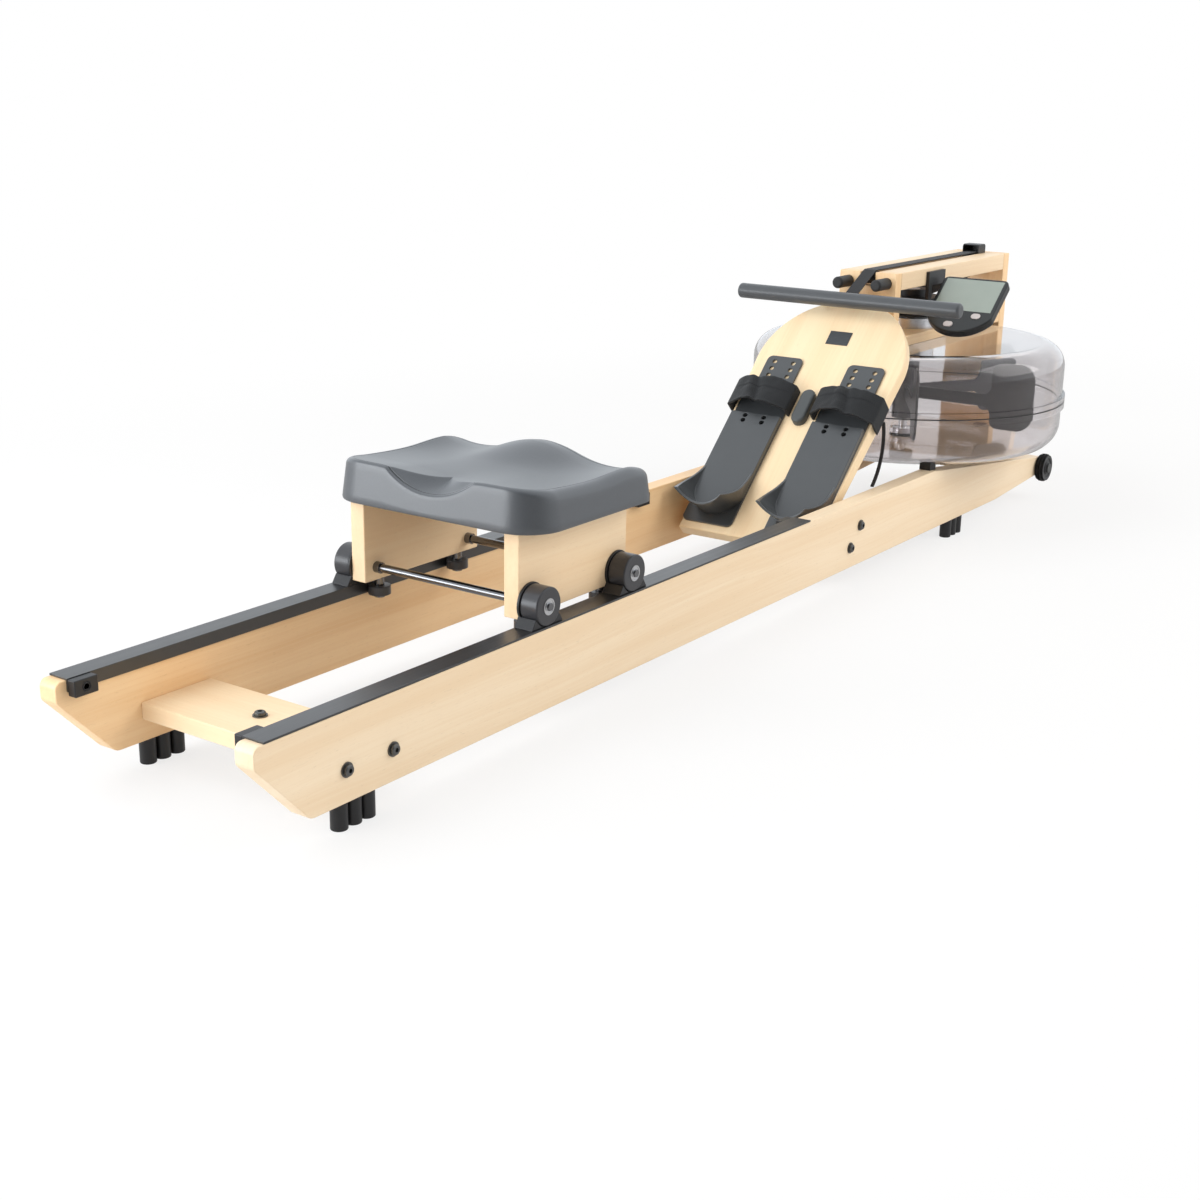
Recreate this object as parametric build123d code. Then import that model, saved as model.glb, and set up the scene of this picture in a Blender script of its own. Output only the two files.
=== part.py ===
"""Wooden water-tank rowing machine, in millimetres.

+X runs along the machine from the seat end to the tank, +Y is the rower's left and +Z is up.
The origin is on the floor, under the middle of the machine.
A station is a distance along the machine, measured from the rear tip of the rails.
"""
import os
from math import acos, atan2, cos, degrees, hypot, pi, radians, sin, sqrt, tan

from build123d import *

# Clearances
running_clearance = 0.05     # radial, turning fit
seat_gap = 0.3               # between pieces that move past each other or sit loosely
hole_clearance = 0.15        # radial, round a bolt in its hole
cut_past = 1.0               # how far a cutting shape runs past the face that it cuts

# Side rails
rail_inner = 139.0           # inner face, from the middle of the machine
rail_thickness = 28.0
rail_bottom = 34.0
rail_height = 104.0
rail_end_setback = 26.9      # rail's tank end, from the far end of the machine
nose_chamfer_length = 76.0
nose_low = 80.0              # start of the nose chamfer, above the rail's bottom
nose_tip_radius = 9.0
nose_heel_radius = 14.0
taper_station = 1586.0       # where the top edge starts to fall towards the tank end
end_top = 44.6               # rail end, top corner above the rail's bottom
rise_station = 1864.0        # where the bottom edge starts to rise
end_bottom = 13.5            # rail end, bottom corner above the rail's bottom
rail_end_radius = 4.0

# Seat tracks
track_start_station = 14.4
track_length = 1128.0
track_thickness = 2.6
track_lip = 16.0

# Track stops
stop_length = 32.0
stop_height = 19.5
stop_thickness = 12.0
stop_drop = 1.0              # stop's top below the track's top
stop_screw_head_radius = 5.0
stop_screw_head = 3.0
stop_socket_radius = 2.5
stop_socket_depth = 1.5

# Rear spacer plank
spacer_station = 114.4
spacer_length = 105.0
spacer_thickness = 21.0
spacer_bottom = 62.0
spacer_bolt_inset = 16.0     # from each end of the plank to its rail bolts

# Rubber feet
foot_radius = 10.0
foot_pitch = 21.4
foot_count = 3
rear_foot_station = 131.0
front_foot_station = 1679.0
foot_edge = 1.5

# Rail bolts
bolt_radius = 4.0
bolt_depth = 34.0            # past the rail's inner face
bolt_head_radius = 6.6
bolt_head = 4.2
bolt_socket = 5.0            # across the flats of the hexagon
bolt_socket_depth = 2.4
washer_radius = 8.7
washer_thickness = 1.6

# Seat carriage
seat_station = 578.4         # middle of the carriage
seat_board_length = 227.0
seat_board_thickness = 23.0
seat_board_inner = 113.5
seat_board_height = 107.5
seat_board_lift = 6.9        # board's lower edge above the track
roller_radius = 24.4
roller_width = 26.0
roller_edge = 2.0
roller_offset = 92.0         # axle from the middle of the carriage
bearing_radius = 10.5
bearing_proud = 0.6
axle_radius = 4.0
axle_tube_radius = 5.5
axle_collar_radius = 7.5
axle_collar = 9.0
axle_nut_flats = 9.0
axle_nut = 2.4
guard_thickness = 3.5
guard_margin = 1.6           # guard's arch outside the roller
guard_toe = 5.0
guard_toe_height = 12.0
guide_roller_radius = 15.0
guide_roller_height = 12.0
guide_roller_drop = 4.0      # roller's top below the track's top
guide_roller_offset = 79.0
guide_roller_edge = 1.0
guide_bolt_radius = 4.0
guide_bolt_head_radius = 7.0
guide_bolt_head = 3.5
guide_spacer_radius = 6.5
guide_bolt_grip = 25.0       # length inside the seat board

# Seat pan and cushion
pan_thickness = 10.0
pan_margin = 12.0
cushion_length = 262.0
cushion_offset = 5.0         # cushion's middle ahead of the carriage's middle
cushion_width = 340.0
cushion_rear_corner = 55.0
cushion_front_corner = 26.0
cushion_draw = 8.0           # degrees that the side wall leans in

# Heights of the cushion's top above its base, at stations along the seat from its rear edge:
# side edge, thigh valley, shoulder of the middle wave, middle, half width of the middle wave
cushion_rear = (55.0, 56.0, 55.0, 30.0, 74.0)
cushion_rear_third = (50.0, 48.0, 47.0, 41.0, 72.0)
cushion_middle = (48.0, 41.5, 43.0, 46.0, 62.0)
cushion_pommel = (55.0, 39.5, 48.0, 62.0, 58.0)
cushion_front = (41.0, 36.5, 44.0, 56.0, 58.0)
cushion_third_station = 62.0
cushion_middle_station = 140.0
cushion_pommel_station = 216.0

# Footboard
board_slope = 44.4           # degrees
board_station = 1487.2       # middle of the arch, on the wooden face
board_rise = 318.0           # the same point, above the floor
board_thickness = 22.0
board_arch = 136.0           # radius of the arched top
board_waist = 125.0          # half width at the rails
board_waist_drop = 254.0     # down the slope from the middle of the arch to the waist
board_drop = 360.0           # down the slope to the lower end
board_edge = 3.0
batten_thickness = 22.0
batten_length = 86.0
batten_drop = 259.0          # down the slope to the batten's upper edge
batten_bolt_low = 21.0       # bolts, from the batten's lower edge
batten_bolt_pitch = 44.0
plate_badge_length = 28.0
plate_badge_width = 41.0
plate_badge_rise = 53.0      # up the slope to the middle of the blank plate
plate_badge_thickness = 1.2

# Foot plates and heel rests
foot_middle = 77.0           # middle of a foot plate, from the middle of the machine
foot_plate_thickness = 4.0
foot_plate_half = 47.0
foot_plate_bottom = 347.0    # down the slope to the plate's lower end
foot_tongue_half = 34.0
foot_tongue_drop = 62.0
foot_plate_corner = 10.0
peg_hole_radius = 4.0
peg_hole_spread = 18.0
peg_hole_pitch = 14.5
peg_hole_rows = 4
peg_hole_first = 12.0
heel_thickness = 8.0
heel_top_drop = 128.0
tray_hole_first = 6.0        # from the tray's upper edge
tray_hole_pitch = 10.0
tray_hole_rows = 2
heel_cup_height = 62.0
heel_cup_flare = 16.0        # degrees, outward lean of the cup's wall
heel_lip_height = 36.0       # middle of the cup's lip above the tray
heel_lip_radius = 60.0
heel_cup_wall = 4.0
heel_end_drop = 330.0        # down the slope to the heel cup's rear
heel_wing_drop = 245.0       # down the slope to where the cup's wings begin
heel_wing_rise = ((55.0, 29.0), (100.0, 82.0))   # the wings' upper edge: further down, above the tray

# Foot straps
strap_pad_width = 52.0
strap_pad_thickness = 4.0
strap_pad_drop = 66.0        # down the slope to the pad's upper edge
strap_pad_crown = 34.0       # top of the arch above the footboard
strap_pad_inner = 51.0       # inner leg, from the middle of the foot plate
strap_pad_inner_leg = 18.0   # height of the inner leg below the arch
strap_pad_outer_leg = 14.0   # height where the arch meets the outer leg
strap_pad_hem = 16.0         # outer leg past the footboard's face, down its side
strap_tail_width = 6.0
strap_tail_thickness = 2.4
strap_tail_length = 103.0
strap_tail_bulge = 2.0       # how far the tail swings out at its middle
strap_tail_return = 27.5     # how far its end swings back
keeper_length = 68.0
keeper_width = 25.0
keeper_height = 14.0
keeper_drop = 99.0
keeper_edge = 5.0

# Water tank
tank_near_station = 1519.4   # near side of the tank
tank_radius = 281.0
tank_wall = 4.0
tank_bottom = 142.0
tank_height = 188.0
tank_low_corner = 46.0
tank_high_corner = 42.0
flange_width = 5.0           # past the tank's wall
flange_height = 10.5
seam_rise = 86.0             # middle of the seam, above the tank's bottom
seal_thickness = 1.0
boss_radius = 24.0
boss_height = 14.0
shaft_hole_gap = 2.0
fill_radius = 18.0
fill_plug_lip = 5.0
fill_plug_lip_height = 5.0
fill_plug_grip = 14.0
fill_plug_grip_radius = 11.0
fill_plug_depth = 12.0
fill_plug_wall = 3.0
fill_along = -150.0
fill_across = 150.0
tank_pad_width = 20.0
tank_pad_length = 22.0
tank_pad_station = 1581.0
tank_pad_high = 14.0
cradle_pad_across = 60.0

# Rotor, bearings and drum
shaft_radius = 8.0
shaft_collar_radius = 13.0
shaft_collar = 3.0
bearing_ring = 10.0          # ring width of the shaft bearings
lower_bearing_height = 9.0
hub_radius = 22.0
blade_count = 6
blade_gap = 30.0             # between the blades' tips and the tank's wall
blade_root = 168.0           # from the tank's axis to where the arm widens into the paddle
blade_arm_low = 76.0         # the arm, above the tank's bottom
blade_arm_high = 98.0
blade_thickness = 4.0
blade_low = 38.0             # above the tank's bottom
blade_high = 158.0
blade_corner = 30.0
drum_core = 32.0
drum_flange_radius = 54.0
drum_flange = 3.0
drum_lift = 22.0             # drum's lower flange above the deck
drum_channel = 27.0
drum_cap = 13.0
drum_cap_radius = 30.0
clutch_radius = 15.0
spring_inner = 20.0
spring_outer = 46.0
spring_height = 18.0

# Top beam, deck and posts
beam_half = 54.0
beam_slot = 14.0             # half width of the slot between the cheeks
drum_room = 14.0             # between the drum's cap and the beam
beam_depth = 30.0
near_post_station = 1619.4
near_post_thickness = 22.0
deck_thickness = 18.0
far_post_thickness = 25.0
far_post_gap = 1.5           # between the tank's flange and the post
far_post_foot = 42.0
knee_high = 118.0            # knee block's upper end, up the slope of the footboard
knee_lift = 22.0             # knee block's underside above the tank
far_plank_length = 72.0
far_plank_thickness = 21.0
far_plank_bottom = 50.0
cradle_thickness = 22.0
cradle_inset = 92.4          # from the tank's far side
cradle_bottom = 54.0
cradle_pad = 2.0

# Pegs for the handle
peg_across = 36.3
peg_radius = 10.0
peg_drop = 18.0              # below the top of the beam
peg_length = 44.0
peg_spigot_radius = 5.0
peg_spigot = 14.0
peg_edge = 4.0

# Drive strap, roller and pulley
strap_width = 23.0
strap_thickness = 1.8
strap_rise = 1.5             # strap's inner face above the top of the beam
strap_roller_radius = 11.0
strap_roller_width = 26.0
journal_radius = 4.0
journal_depth = 12.0
strap_pulley_radius = 18.0
strap_pulley_width = 25.0
strap_pulley_inset = 21.4    # pulley's axle, from the far post
roller_notch_gap = 3.0
winding_turns = 5
winding_gap = 0.6
twist_sections = 9
cover_length = 34.0
cover_half = 16.5
cover_height = 17.0
cover_wall = 2.0
cover_corner = 6.0

# Handle
handle_station = 1544.4
handle_gap = 1.0             # under the pegs
handle_half = 209.0
handle_core_radius = 8.0
handle_grip_radius = 13.0
handle_end = 5.0

# Monitor
monitor_station = 1741.4
monitor_across = 128.0
monitor_drop = 58.0          # face's middle below the top of the beam
monitor_tilt = 40.0
monitor_half = 61.0
monitor_up = 66.0            # face's middle to its top edge
monitor_down = 26.0          # face's middle to the lower end of its straight sides
monitor_chin = 63.0          # face's middle to the bottom of its round chin
monitor_depth = 17.0
monitor_edge = 5.0
lens_width = 108.0
lens_height = 74.0
lens_rise = 24.0
lens_thickness = 1.5
button_radius = 6.0
button_half = 2.5            # half of the straight part of an oval button
button_thickness = 3.0
button_proud = 1.6
button_travel = 0.8
right_button_across = -31.5
right_button_rise = -24.0
left_button_across = 11.4
left_button_rise = -47.0
arm_plate_length = 60.0
arm_plate_height = 24.0
arm_thickness = 6.0
arm_radius = 7.0
pivot_radius = 4.0
pivot_back = 9.0             # pivot behind the monitor's face
pivot_past = 30.0            # pivot rod past the monitor's middle

# Transport wheels
wheel_inset = 14.0           # from the rail's tank end
wheel_height = 60.5
wheel_radius = 24.5
wheel_width = 16.0
wheel_edge = 3.0
wheel_gap = 2.0
wheel_axle_radius = 5.0
wheel_hub_radius = 9.0

# Sizes that follow from these
rail_outer = rail_inner + rail_thickness
rail_middle = rail_inner + rail_thickness / 2
rail_top = rail_bottom + rail_height
track_top = rail_top + track_thickness
lip_face = rail_inner - track_thickness
tank_top = tank_bottom + tank_height
seam = tank_bottom + seam_rise
deck_top = tank_top + deck_thickness
drum_bottom = deck_top + drum_lift
drum_top = drum_bottom + 2 * drum_flange + drum_channel
cap_top = drum_top + drum_cap
beam_top = cap_top + drum_room + beam_depth
peg_z = beam_top - peg_drop
handle_height = peg_z - peg_radius - handle_gap - handle_grip_radius
monitor_height = beam_top - monitor_drop
flange_radius = tank_radius + flange_width
blade_tip = tank_radius - tank_wall - blade_gap
tank_station = tank_near_station + tank_radius
cradle_station = tank_station + tank_radius - cradle_inset
far_post_station = tank_station + flange_radius + far_post_gap
strap_pulley_station = far_post_station - strap_pulley_inset
overall_length = far_post_station + far_post_thickness
rail_end_station = overall_length - rail_end_setback
wheel_station = rail_end_station - wheel_inset
strap_inner_top = beam_top + strap_rise


def at(station):
    """X of a station along the machine."""
    return station - overall_length / 2


def block(x, y, z):
    """A box from pairs of low and high coordinates."""
    size = Box(x[1] - x[0], y[1] - y[0], z[1] - z[0])
    return Pos((x[0] + x[1]) / 2, (y[0] + y[1]) / 2, (z[0] + z[1]) / 2) * size


def rod_x(x, y, z, radius):
    """A round rod along X, from x[0] to x[1]."""
    return Pos((x[0] + x[1]) / 2, y, z) * Rot(0, 90, 0) * Cylinder(radius, x[1] - x[0])


def rod_y(x, y, z, radius):
    """A round rod along Y, from y[0] to y[1]."""
    return Pos(x, (y[0] + y[1]) / 2, z) * Rot(90, 0, 0) * Cylinder(radius, y[1] - y[0])


def rod_z(x, y, z, radius):
    """A round rod along Z, from z[0] to z[1]."""
    return Pos(x, y, (z[0] + z[1]) / 2) * Cylinder(radius, z[1] - z[0])


def past(low, high):
    """A span that runs past two faces, for a shape that cuts through both."""
    return low - cut_past, high + cut_past


def slab_y(outline, y):
    """An outline of X and Z points or edges, made solid from y[0] to y[1]."""
    plane = Plane(origin=(0, y[1], 0), x_dir=(1, 0, 0), z_dir=(0, -1, 0))
    return extrude(plane * make_face(outline), amount=y[1] - y[0])


def turned(outline, x):
    """An outline of radius and height, turned about the vertical axis at x."""
    face = Plane.XZ * make_face(outline)
    return Pos(x, 0, 0) * revolve(face, axis=Axis.Z)


def other_side(shape):
    return mirror(shape, about=Plane.XZ)


def both_sides(shape):
    return [shape, other_side(shape)]


def save(node, *shapes):
    """Write the solids of one node to its file."""
    solids = [solid for shape in shapes for solid in shape.solids()]
    export_step(solids[0] if len(solids) == 1 else Compound(solids), f"parts/{node}.step")


os.makedirs("parts", exist_ok=True)

# Side rails: planks on edge, chamfered at the rear nose and tapered towards the tank end
spacer_stations = (spacer_station + spacer_bolt_inset,
                   spacer_station + spacer_length - spacer_bolt_inset)
spacer_middle = spacer_bottom + spacer_thickness / 2
slope = radians(board_slope)
foot_frame = Plane(origin=(at(board_station), 0, board_rise), x_dir=(cos(slope), 0, sin(slope)),
                   z_dir=(-sin(slope), 0, cos(slope))).location


def on_board(along, depth):
    """X and Z of a point of the footboard's middle, up the slope and out from its face."""
    x = at(board_station) + along * cos(slope) - depth * sin(slope)
    return x, board_rise + along * sin(slope) + depth * cos(slope)


batten_low = -batten_drop - batten_length
batten_middle = -board_thickness - batten_thickness / 2
batten_bolts = [on_board(batten_low + batten_bolt_low + i * batten_bolt_pitch, batten_middle)
                for i in range(2)]
rail_bolts = [(at(station), spacer_middle) for station in spacer_stations] + batten_bolts
wheel_place = (at(wheel_station), wheel_height)
rail_outline = FilletPolyline(
    (at(nose_chamfer_length), rail_bottom),
    (at(rise_station), rail_bottom),
    (at(rail_end_station), rail_bottom + end_bottom),
    (at(rail_end_station), rail_bottom + end_top),
    (at(taper_station), rail_top),
    (at(0), rail_top),
    (at(0), rail_bottom + nose_low),
    radius=[nose_heel_radius, 0, rail_end_radius, rail_end_radius, 0, nose_tip_radius,
            nose_tip_radius],
    close=True,
)
right_rail = slab_y(rail_outline, (-rail_outer, -rail_inner))
through_rail = past(-rail_outer, -rail_inner)
for x, z in rail_bolts:
    right_rail -= rod_y(x, through_rail, z, bolt_radius + hole_clearance)
right_rail -= rod_y(wheel_place[0], through_rail, wheel_place[1], wheel_axle_radius + hole_clearance)
save("right_rail", right_rail)
save("left_rail", other_side(right_rail))

# Seat tracks: L-shaped strips over the top and the inner edge of the rails
track_x = (at(track_start_station), at(track_start_station + track_length))
track = block(track_x, (-rail_outer, -lip_face), (rail_top, track_top))
track += block(track_x, (-rail_inner, -lip_face), (track_top - track_lip, track_top))
save("seat_tracks", *both_sides(track))

# Track stops: blocks against the lip at both ends of each track, held by a socket screw
stops = []
stop_z = (track_top - stop_drop - stop_height, track_top - stop_drop)
stop_starts = (track_x[0], track_x[1] - stop_length)
for x in stop_starts:
    middle = x + stop_length / 2
    height = sum(stop_z) / 2
    stop = block((x, x + stop_length), (-lip_face, -lip_face + stop_thickness), stop_z)
    head_y = (-lip_face + stop_thickness - stop_screw_head, -lip_face + stop_thickness)
    stop -= rod_y(middle, head_y, height, stop_screw_head_radius + hole_clearance)
    screw = rod_y(middle, head_y, height, stop_screw_head_radius)
    socket = RegularPolygon(stop_socket_radius, 6)
    screw -= Pos(middle, head_y[1], height) * Rot(90, 0, 0) * extrude(socket, stop_socket_depth)
    for piece in (stop, screw):
        stops += both_sides(piece)
save("track_stops", *stops)

# Rear spacer plank between the rails
spacer_x = (at(spacer_station), at(spacer_station + spacer_length))
spacer = block(spacer_x, (-rail_inner, rail_inner), (spacer_bottom, spacer_bottom + spacer_thickness))
bolt_reach = (-rail_inner, -rail_inner + bolt_depth + cut_past)
for x, z in rail_bolts[:2]:
    hole = rod_y(x, bolt_reach, z, bolt_radius + hole_clearance)
    spacer -= hole + other_side(hole)
spacer_centre = sum(spacer_x) / 2
spacer -= rod_z(spacer_centre, 0, past(spacer_bottom, spacer_bottom + spacer_thickness),
                bolt_radius + hole_clearance)
save("rear_spacer", spacer)

# Rubber feet, in rows under the rails
feet = []
for row in (rear_foot_station, front_foot_station):
    for i in range(foot_count):
        foot = rod_z(at(row + i * foot_pitch), -rail_middle, (0, rail_bottom), foot_radius)
        foot = fillet(foot.edges().group_by(Axis.Z)[0], foot_edge)
        feet += both_sides(foot)
save("rail_feet", *feet)


# Rail bolts with washers, the spacer's middle bolt and the wheel axles
def headed_bolt(length):
    """A button-head bolt along -Z with its washer, the washer's lower face at the origin."""
    washer = rod_z(0, 0, (0, washer_thickness), washer_radius)
    washer -= rod_z(0, 0, past(0, washer_thickness), bolt_radius + hole_clearance)
    top = washer_thickness + bolt_head
    bolt = rod_z(0, 0, (washer_thickness, top), bolt_head_radius)
    bolt = fillet(bolt.edges().group_by(Axis.Z)[-1], bolt_head / 2)
    bolt += rod_z(0, 0, (-length, washer_thickness), bolt_radius)
    socket = RegularPolygon(bolt_socket / 2, 6, major_radius=False)
    bolt -= Pos(0, 0, top - bolt_socket_depth) * extrude(socket, bolt_head)
    return [bolt, washer]


bolts = []
for x, z in rail_bolts:
    for piece in headed_bolt(rail_thickness + bolt_depth):
        bolts += both_sides(Pos(x, -rail_outer, z) * Rot(90, 0, 0) * piece)
for piece in headed_bolt(spacer_thickness):
    bolts.append(Pos(spacer_centre, 0, spacer_bottom + spacer_thickness) * piece)
wheel_y = (-rail_outer - wheel_gap - wheel_width, -rail_outer - wheel_gap)
axle = rod_y(wheel_place[0], (wheel_y[0], -rail_inner + bolt_depth), wheel_place[1], wheel_axle_radius)
axle += rod_y(wheel_place[0], (wheel_y[0] - bolt_head, wheel_y[0] - seat_gap), wheel_place[1],
              wheel_hub_radius)
axle += rod_y(wheel_place[0], (wheel_y[0] - seat_gap, wheel_y[0]), wheel_place[1], wheel_axle_radius)
axle += rod_y(wheel_place[0], (wheel_y[1] + seat_gap, -rail_outer), wheel_place[1], wheel_hub_radius)
bolts += both_sides(axle)
save("frame_bolts", *bolts)

# Transport wheels on the outside of the rails' tank end
wheel = rod_y(wheel_place[0], wheel_y, wheel_place[1], wheel_radius)
wheel = fillet(wheel.edges().filter_by(GeomType.CIRCLE), wheel_edge)
wheel -= rod_y(wheel_place[0], past(*wheel_y), wheel_place[1], wheel_axle_radius + running_clearance)
save("right_wheel", wheel)
save("left_wheel", other_side(wheel))

# Cross boards: the plank that carries the far post, and the tank's cradle
plank_x = (at(far_post_station) - far_plank_length, at(far_post_station))
plank_z = (far_plank_bottom, far_plank_bottom + far_plank_thickness)
plank = block(plank_x, (-rail_inner, rail_inner), plank_z)
hole = rod_y(wheel_place[0], bolt_reach, wheel_place[1], wheel_axle_radius + hole_clearance)
plank -= hole + other_side(hole)
cradle_x = (at(cradle_station), at(cradle_station) + cradle_thickness)
cradle = block(cradle_x, (-rail_inner, rail_inner), (cradle_bottom, tank_bottom - cradle_pad))
save("cross_boards", plank, cradle)

# Water tank: two clear shells that meet at a seam flange, with a seal between them
tank_x = at(tank_station)
inner_radius = tank_radius - tank_wall
lower_face = seam - seal_thickness / 2
upper_face = seam + seal_thickness / 2
bearing_outer = shaft_radius + bearing_ring
boss_top = tank_bottom + tank_wall + boss_height
pocket_floor = boss_top - lower_bearing_height
lower_outline = FilletPolyline(
    (0, tank_bottom),
    (tank_radius, tank_bottom),
    (tank_radius, lower_face - flange_height),
    (flange_radius, lower_face - flange_height),
    (flange_radius, lower_face),
    (inner_radius, lower_face),
    (inner_radius, tank_bottom + tank_wall),
    (0, tank_bottom + tank_wall),
    radius=[0, tank_low_corner, 0, 0, 0, 0, tank_low_corner - tank_wall, 0],
    close=True,
)
lower_shell = turned(lower_outline, tank_x)
lower_shell += rod_z(tank_x, 0, (tank_bottom, boss_top), boss_radius)
lower_shell -= rod_z(tank_x, 0, (pocket_floor, boss_top + cut_past), bearing_outer + hole_clearance)
save("tank_lower_shell", lower_shell)
shaft_hole = shaft_radius + shaft_hole_gap
upper_outline = FilletPolyline(
    (shaft_hole, tank_top),
    (tank_radius, tank_top),
    (tank_radius, upper_face + flange_height),
    (flange_radius, upper_face + flange_height),
    (flange_radius, upper_face),
    (inner_radius, upper_face),
    (inner_radius, tank_top - tank_wall),
    (shaft_hole, tank_top - tank_wall),
    radius=[0, tank_high_corner, 0, 0, 0, 0, tank_high_corner - tank_wall, 0],
    close=True,
)
upper_shell = turned(upper_outline, tank_x)
fill_x = tank_x + fill_along
upper_shell -= rod_z(fill_x, fill_across, past(tank_top - tank_wall, tank_top), fill_radius)
save("tank_upper_shell", upper_shell)
seal = rod_z(tank_x, 0, (lower_face, upper_face), flange_radius)
seal -= rod_z(tank_x, 0, past(lower_face, upper_face), inner_radius)
save("tank_seal", seal)

# Fill plug, a hollow cap pushed into the hole in the top of the tank
plug = rod_z(fill_x, fill_across, (tank_top - fill_plug_depth, tank_top), fill_radius - seat_gap)
lip_top = tank_top + fill_plug_lip_height
plug += rod_z(fill_x, fill_across, (tank_top, lip_top), fill_radius + fill_plug_lip)
plug += rod_z(fill_x, fill_across, (lip_top, lip_top + fill_plug_grip), fill_plug_grip_radius)
hollow_z = (tank_top - fill_plug_depth - cut_past, lip_top - fill_plug_wall)
plug -= rod_z(fill_x, fill_across, hollow_z, fill_radius - seat_gap - fill_plug_wall)
save("fill_plug", plug)

# Tank pads: on the rails, shaped to the tank's lower corner, and on the cradle
tank_body = turned(FilletPolyline(
    (0, tank_bottom),
    (tank_radius + seat_gap, tank_bottom),
    (tank_radius + seat_gap, lower_face),
    (0, lower_face),
    radius=[0, tank_low_corner, 0, 0],
    close=True,
), tank_x)
pad_x = (at(tank_pad_station), at(tank_pad_station) + tank_pad_length)
pad = block(pad_x, (-rail_inner - tank_pad_width, -rail_inner), (rail_bottom, rail_top + tank_pad_high))
pad -= slab_y(rail_outline, (-rail_outer, -rail_inner))
pad -= tank_body
pad_solid = pad.solids().sort_by(Axis.Z)[-1]
cradle_pad_y = (-cradle_pad_across - tank_pad_width, -cradle_pad_across)
far_pad = block(cradle_x, cradle_pad_y, (tank_bottom - cradle_pad, tank_bottom))
save("tank_pads", *both_sides(pad_solid), *both_sides(far_pad))

# Deck on the tank, with the hole for the rotor shaft's upper bearing
near_x = (at(near_post_station), at(near_post_station) + near_post_thickness)
post_x = (at(far_post_station), at(far_post_station) + far_post_thickness)
deck = block((near_x[1], post_x[0]), (-beam_half, beam_half), (tank_top, deck_top))
deck -= rod_z(tank_x, 0, past(tank_top, deck_top), bearing_outer + hole_clearance)
save("tank_deck", deck)

# Shaft bearings: one in the tank's floor, one in the deck
bearings = []
for z in ((pocket_floor, boss_top), (tank_top, deck_top)):
    ring = rod_z(tank_x, 0, z, bearing_outer)
    ring -= rod_z(tank_x, 0, past(*z), shaft_radius + running_clearance)
    bearings.append(ring)
save("shaft_bearings", *bearings)

# Rotor shaft and paddle rotor
shaft = rod_z(tank_x, 0, (pocket_floor + seat_gap, cap_top), shaft_radius)
collar_z = (drum_bottom - seat_gap - shaft_collar, drum_bottom - seat_gap)
shaft += rod_z(tank_x, 0, collar_z, shaft_collar_radius)
save("rotor_shaft", shaft)
blade_z = (tank_bottom + blade_low, tank_bottom + blade_high)
arm_z = (tank_bottom + blade_arm_low, tank_bottom + blade_arm_high)
rotor = rod_z(tank_x, 0, blade_z, hub_radius)
blade = FilletPolyline(
    (tank_x + shaft_radius + cut_past, arm_z[0]),
    (tank_x + blade_root, arm_z[0]),
    (tank_x + blade_root, blade_z[0]),
    (tank_x + blade_tip, blade_z[0]),
    (tank_x + blade_tip, blade_z[1]),
    (tank_x + blade_root, blade_z[1]),
    (tank_x + blade_root, arm_z[1]),
    (tank_x + shaft_radius + cut_past, arm_z[1]),
    radius=[0, blade_corner / 2, blade_corner / 2, blade_corner, blade_corner, blade_corner / 2,
            blade_corner / 2, 0],
    close=True,
)
blade = slab_y(blade, (-blade_thickness / 2, blade_thickness / 2))
for i in range(blade_count):
    turn = Rot(0, 0, 360 * (i + 0.5) / blade_count)
    rotor += Pos(tank_x, 0, 0) * turn * Pos(-tank_x, 0, 0) * blade
rotor -= rod_z(tank_x, 0, past(*blade_z), shaft_radius + running_clearance)
save("paddle_rotor", rotor)

# Strap drum on its one-way clutch bearing, above the recoil spring
drum = rod_z(tank_x, 0, (drum_bottom, drum_top), drum_core)
drum += rod_z(tank_x, 0, (drum_bottom, drum_bottom + drum_flange), drum_flange_radius)
drum += rod_z(tank_x, 0, (drum_top - drum_flange, drum_top), drum_flange_radius)
drum += rod_z(tank_x, 0, (drum_top, cap_top), drum_cap_radius)
drum -= rod_z(tank_x, 0, past(drum_bottom, cap_top), clutch_radius + running_clearance)
save("strap_drum", drum)
clutch = rod_z(tank_x, 0, (drum_bottom, cap_top), clutch_radius)
clutch -= rod_z(tank_x, 0, past(drum_bottom, cap_top), shaft_radius + running_clearance)
save("clutch_bearing", clutch)
spring = rod_z(tank_x, 0, (deck_top, deck_top + spring_height), spring_outer)
spring -= rod_z(tank_x, 0, past(deck_top, deck_top + spring_height), spring_inner)
save("recoil_spring", spring)

# Strap winding: one band in half turns about two centres, so that each turn lies outside the last
winding_pitch = strap_thickness + winding_gap
winding_step = winding_pitch / 4
first_radius = drum_core + seat_gap + winding_pitch / 2


def half_turns(shift):
    """The half turns of the spiral, moved out by shift from its inner face."""
    edges = []
    for i in range(2 * winding_turns):
        upper = i % 2 == 0
        centre = (tank_x, -winding_step if upper else winding_step)
        radius = first_radius + i * winding_pitch / 2 + shift
        edges.append(CenterArc(centre, radius, 90 if upper else -90, -180))
    return edges


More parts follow.
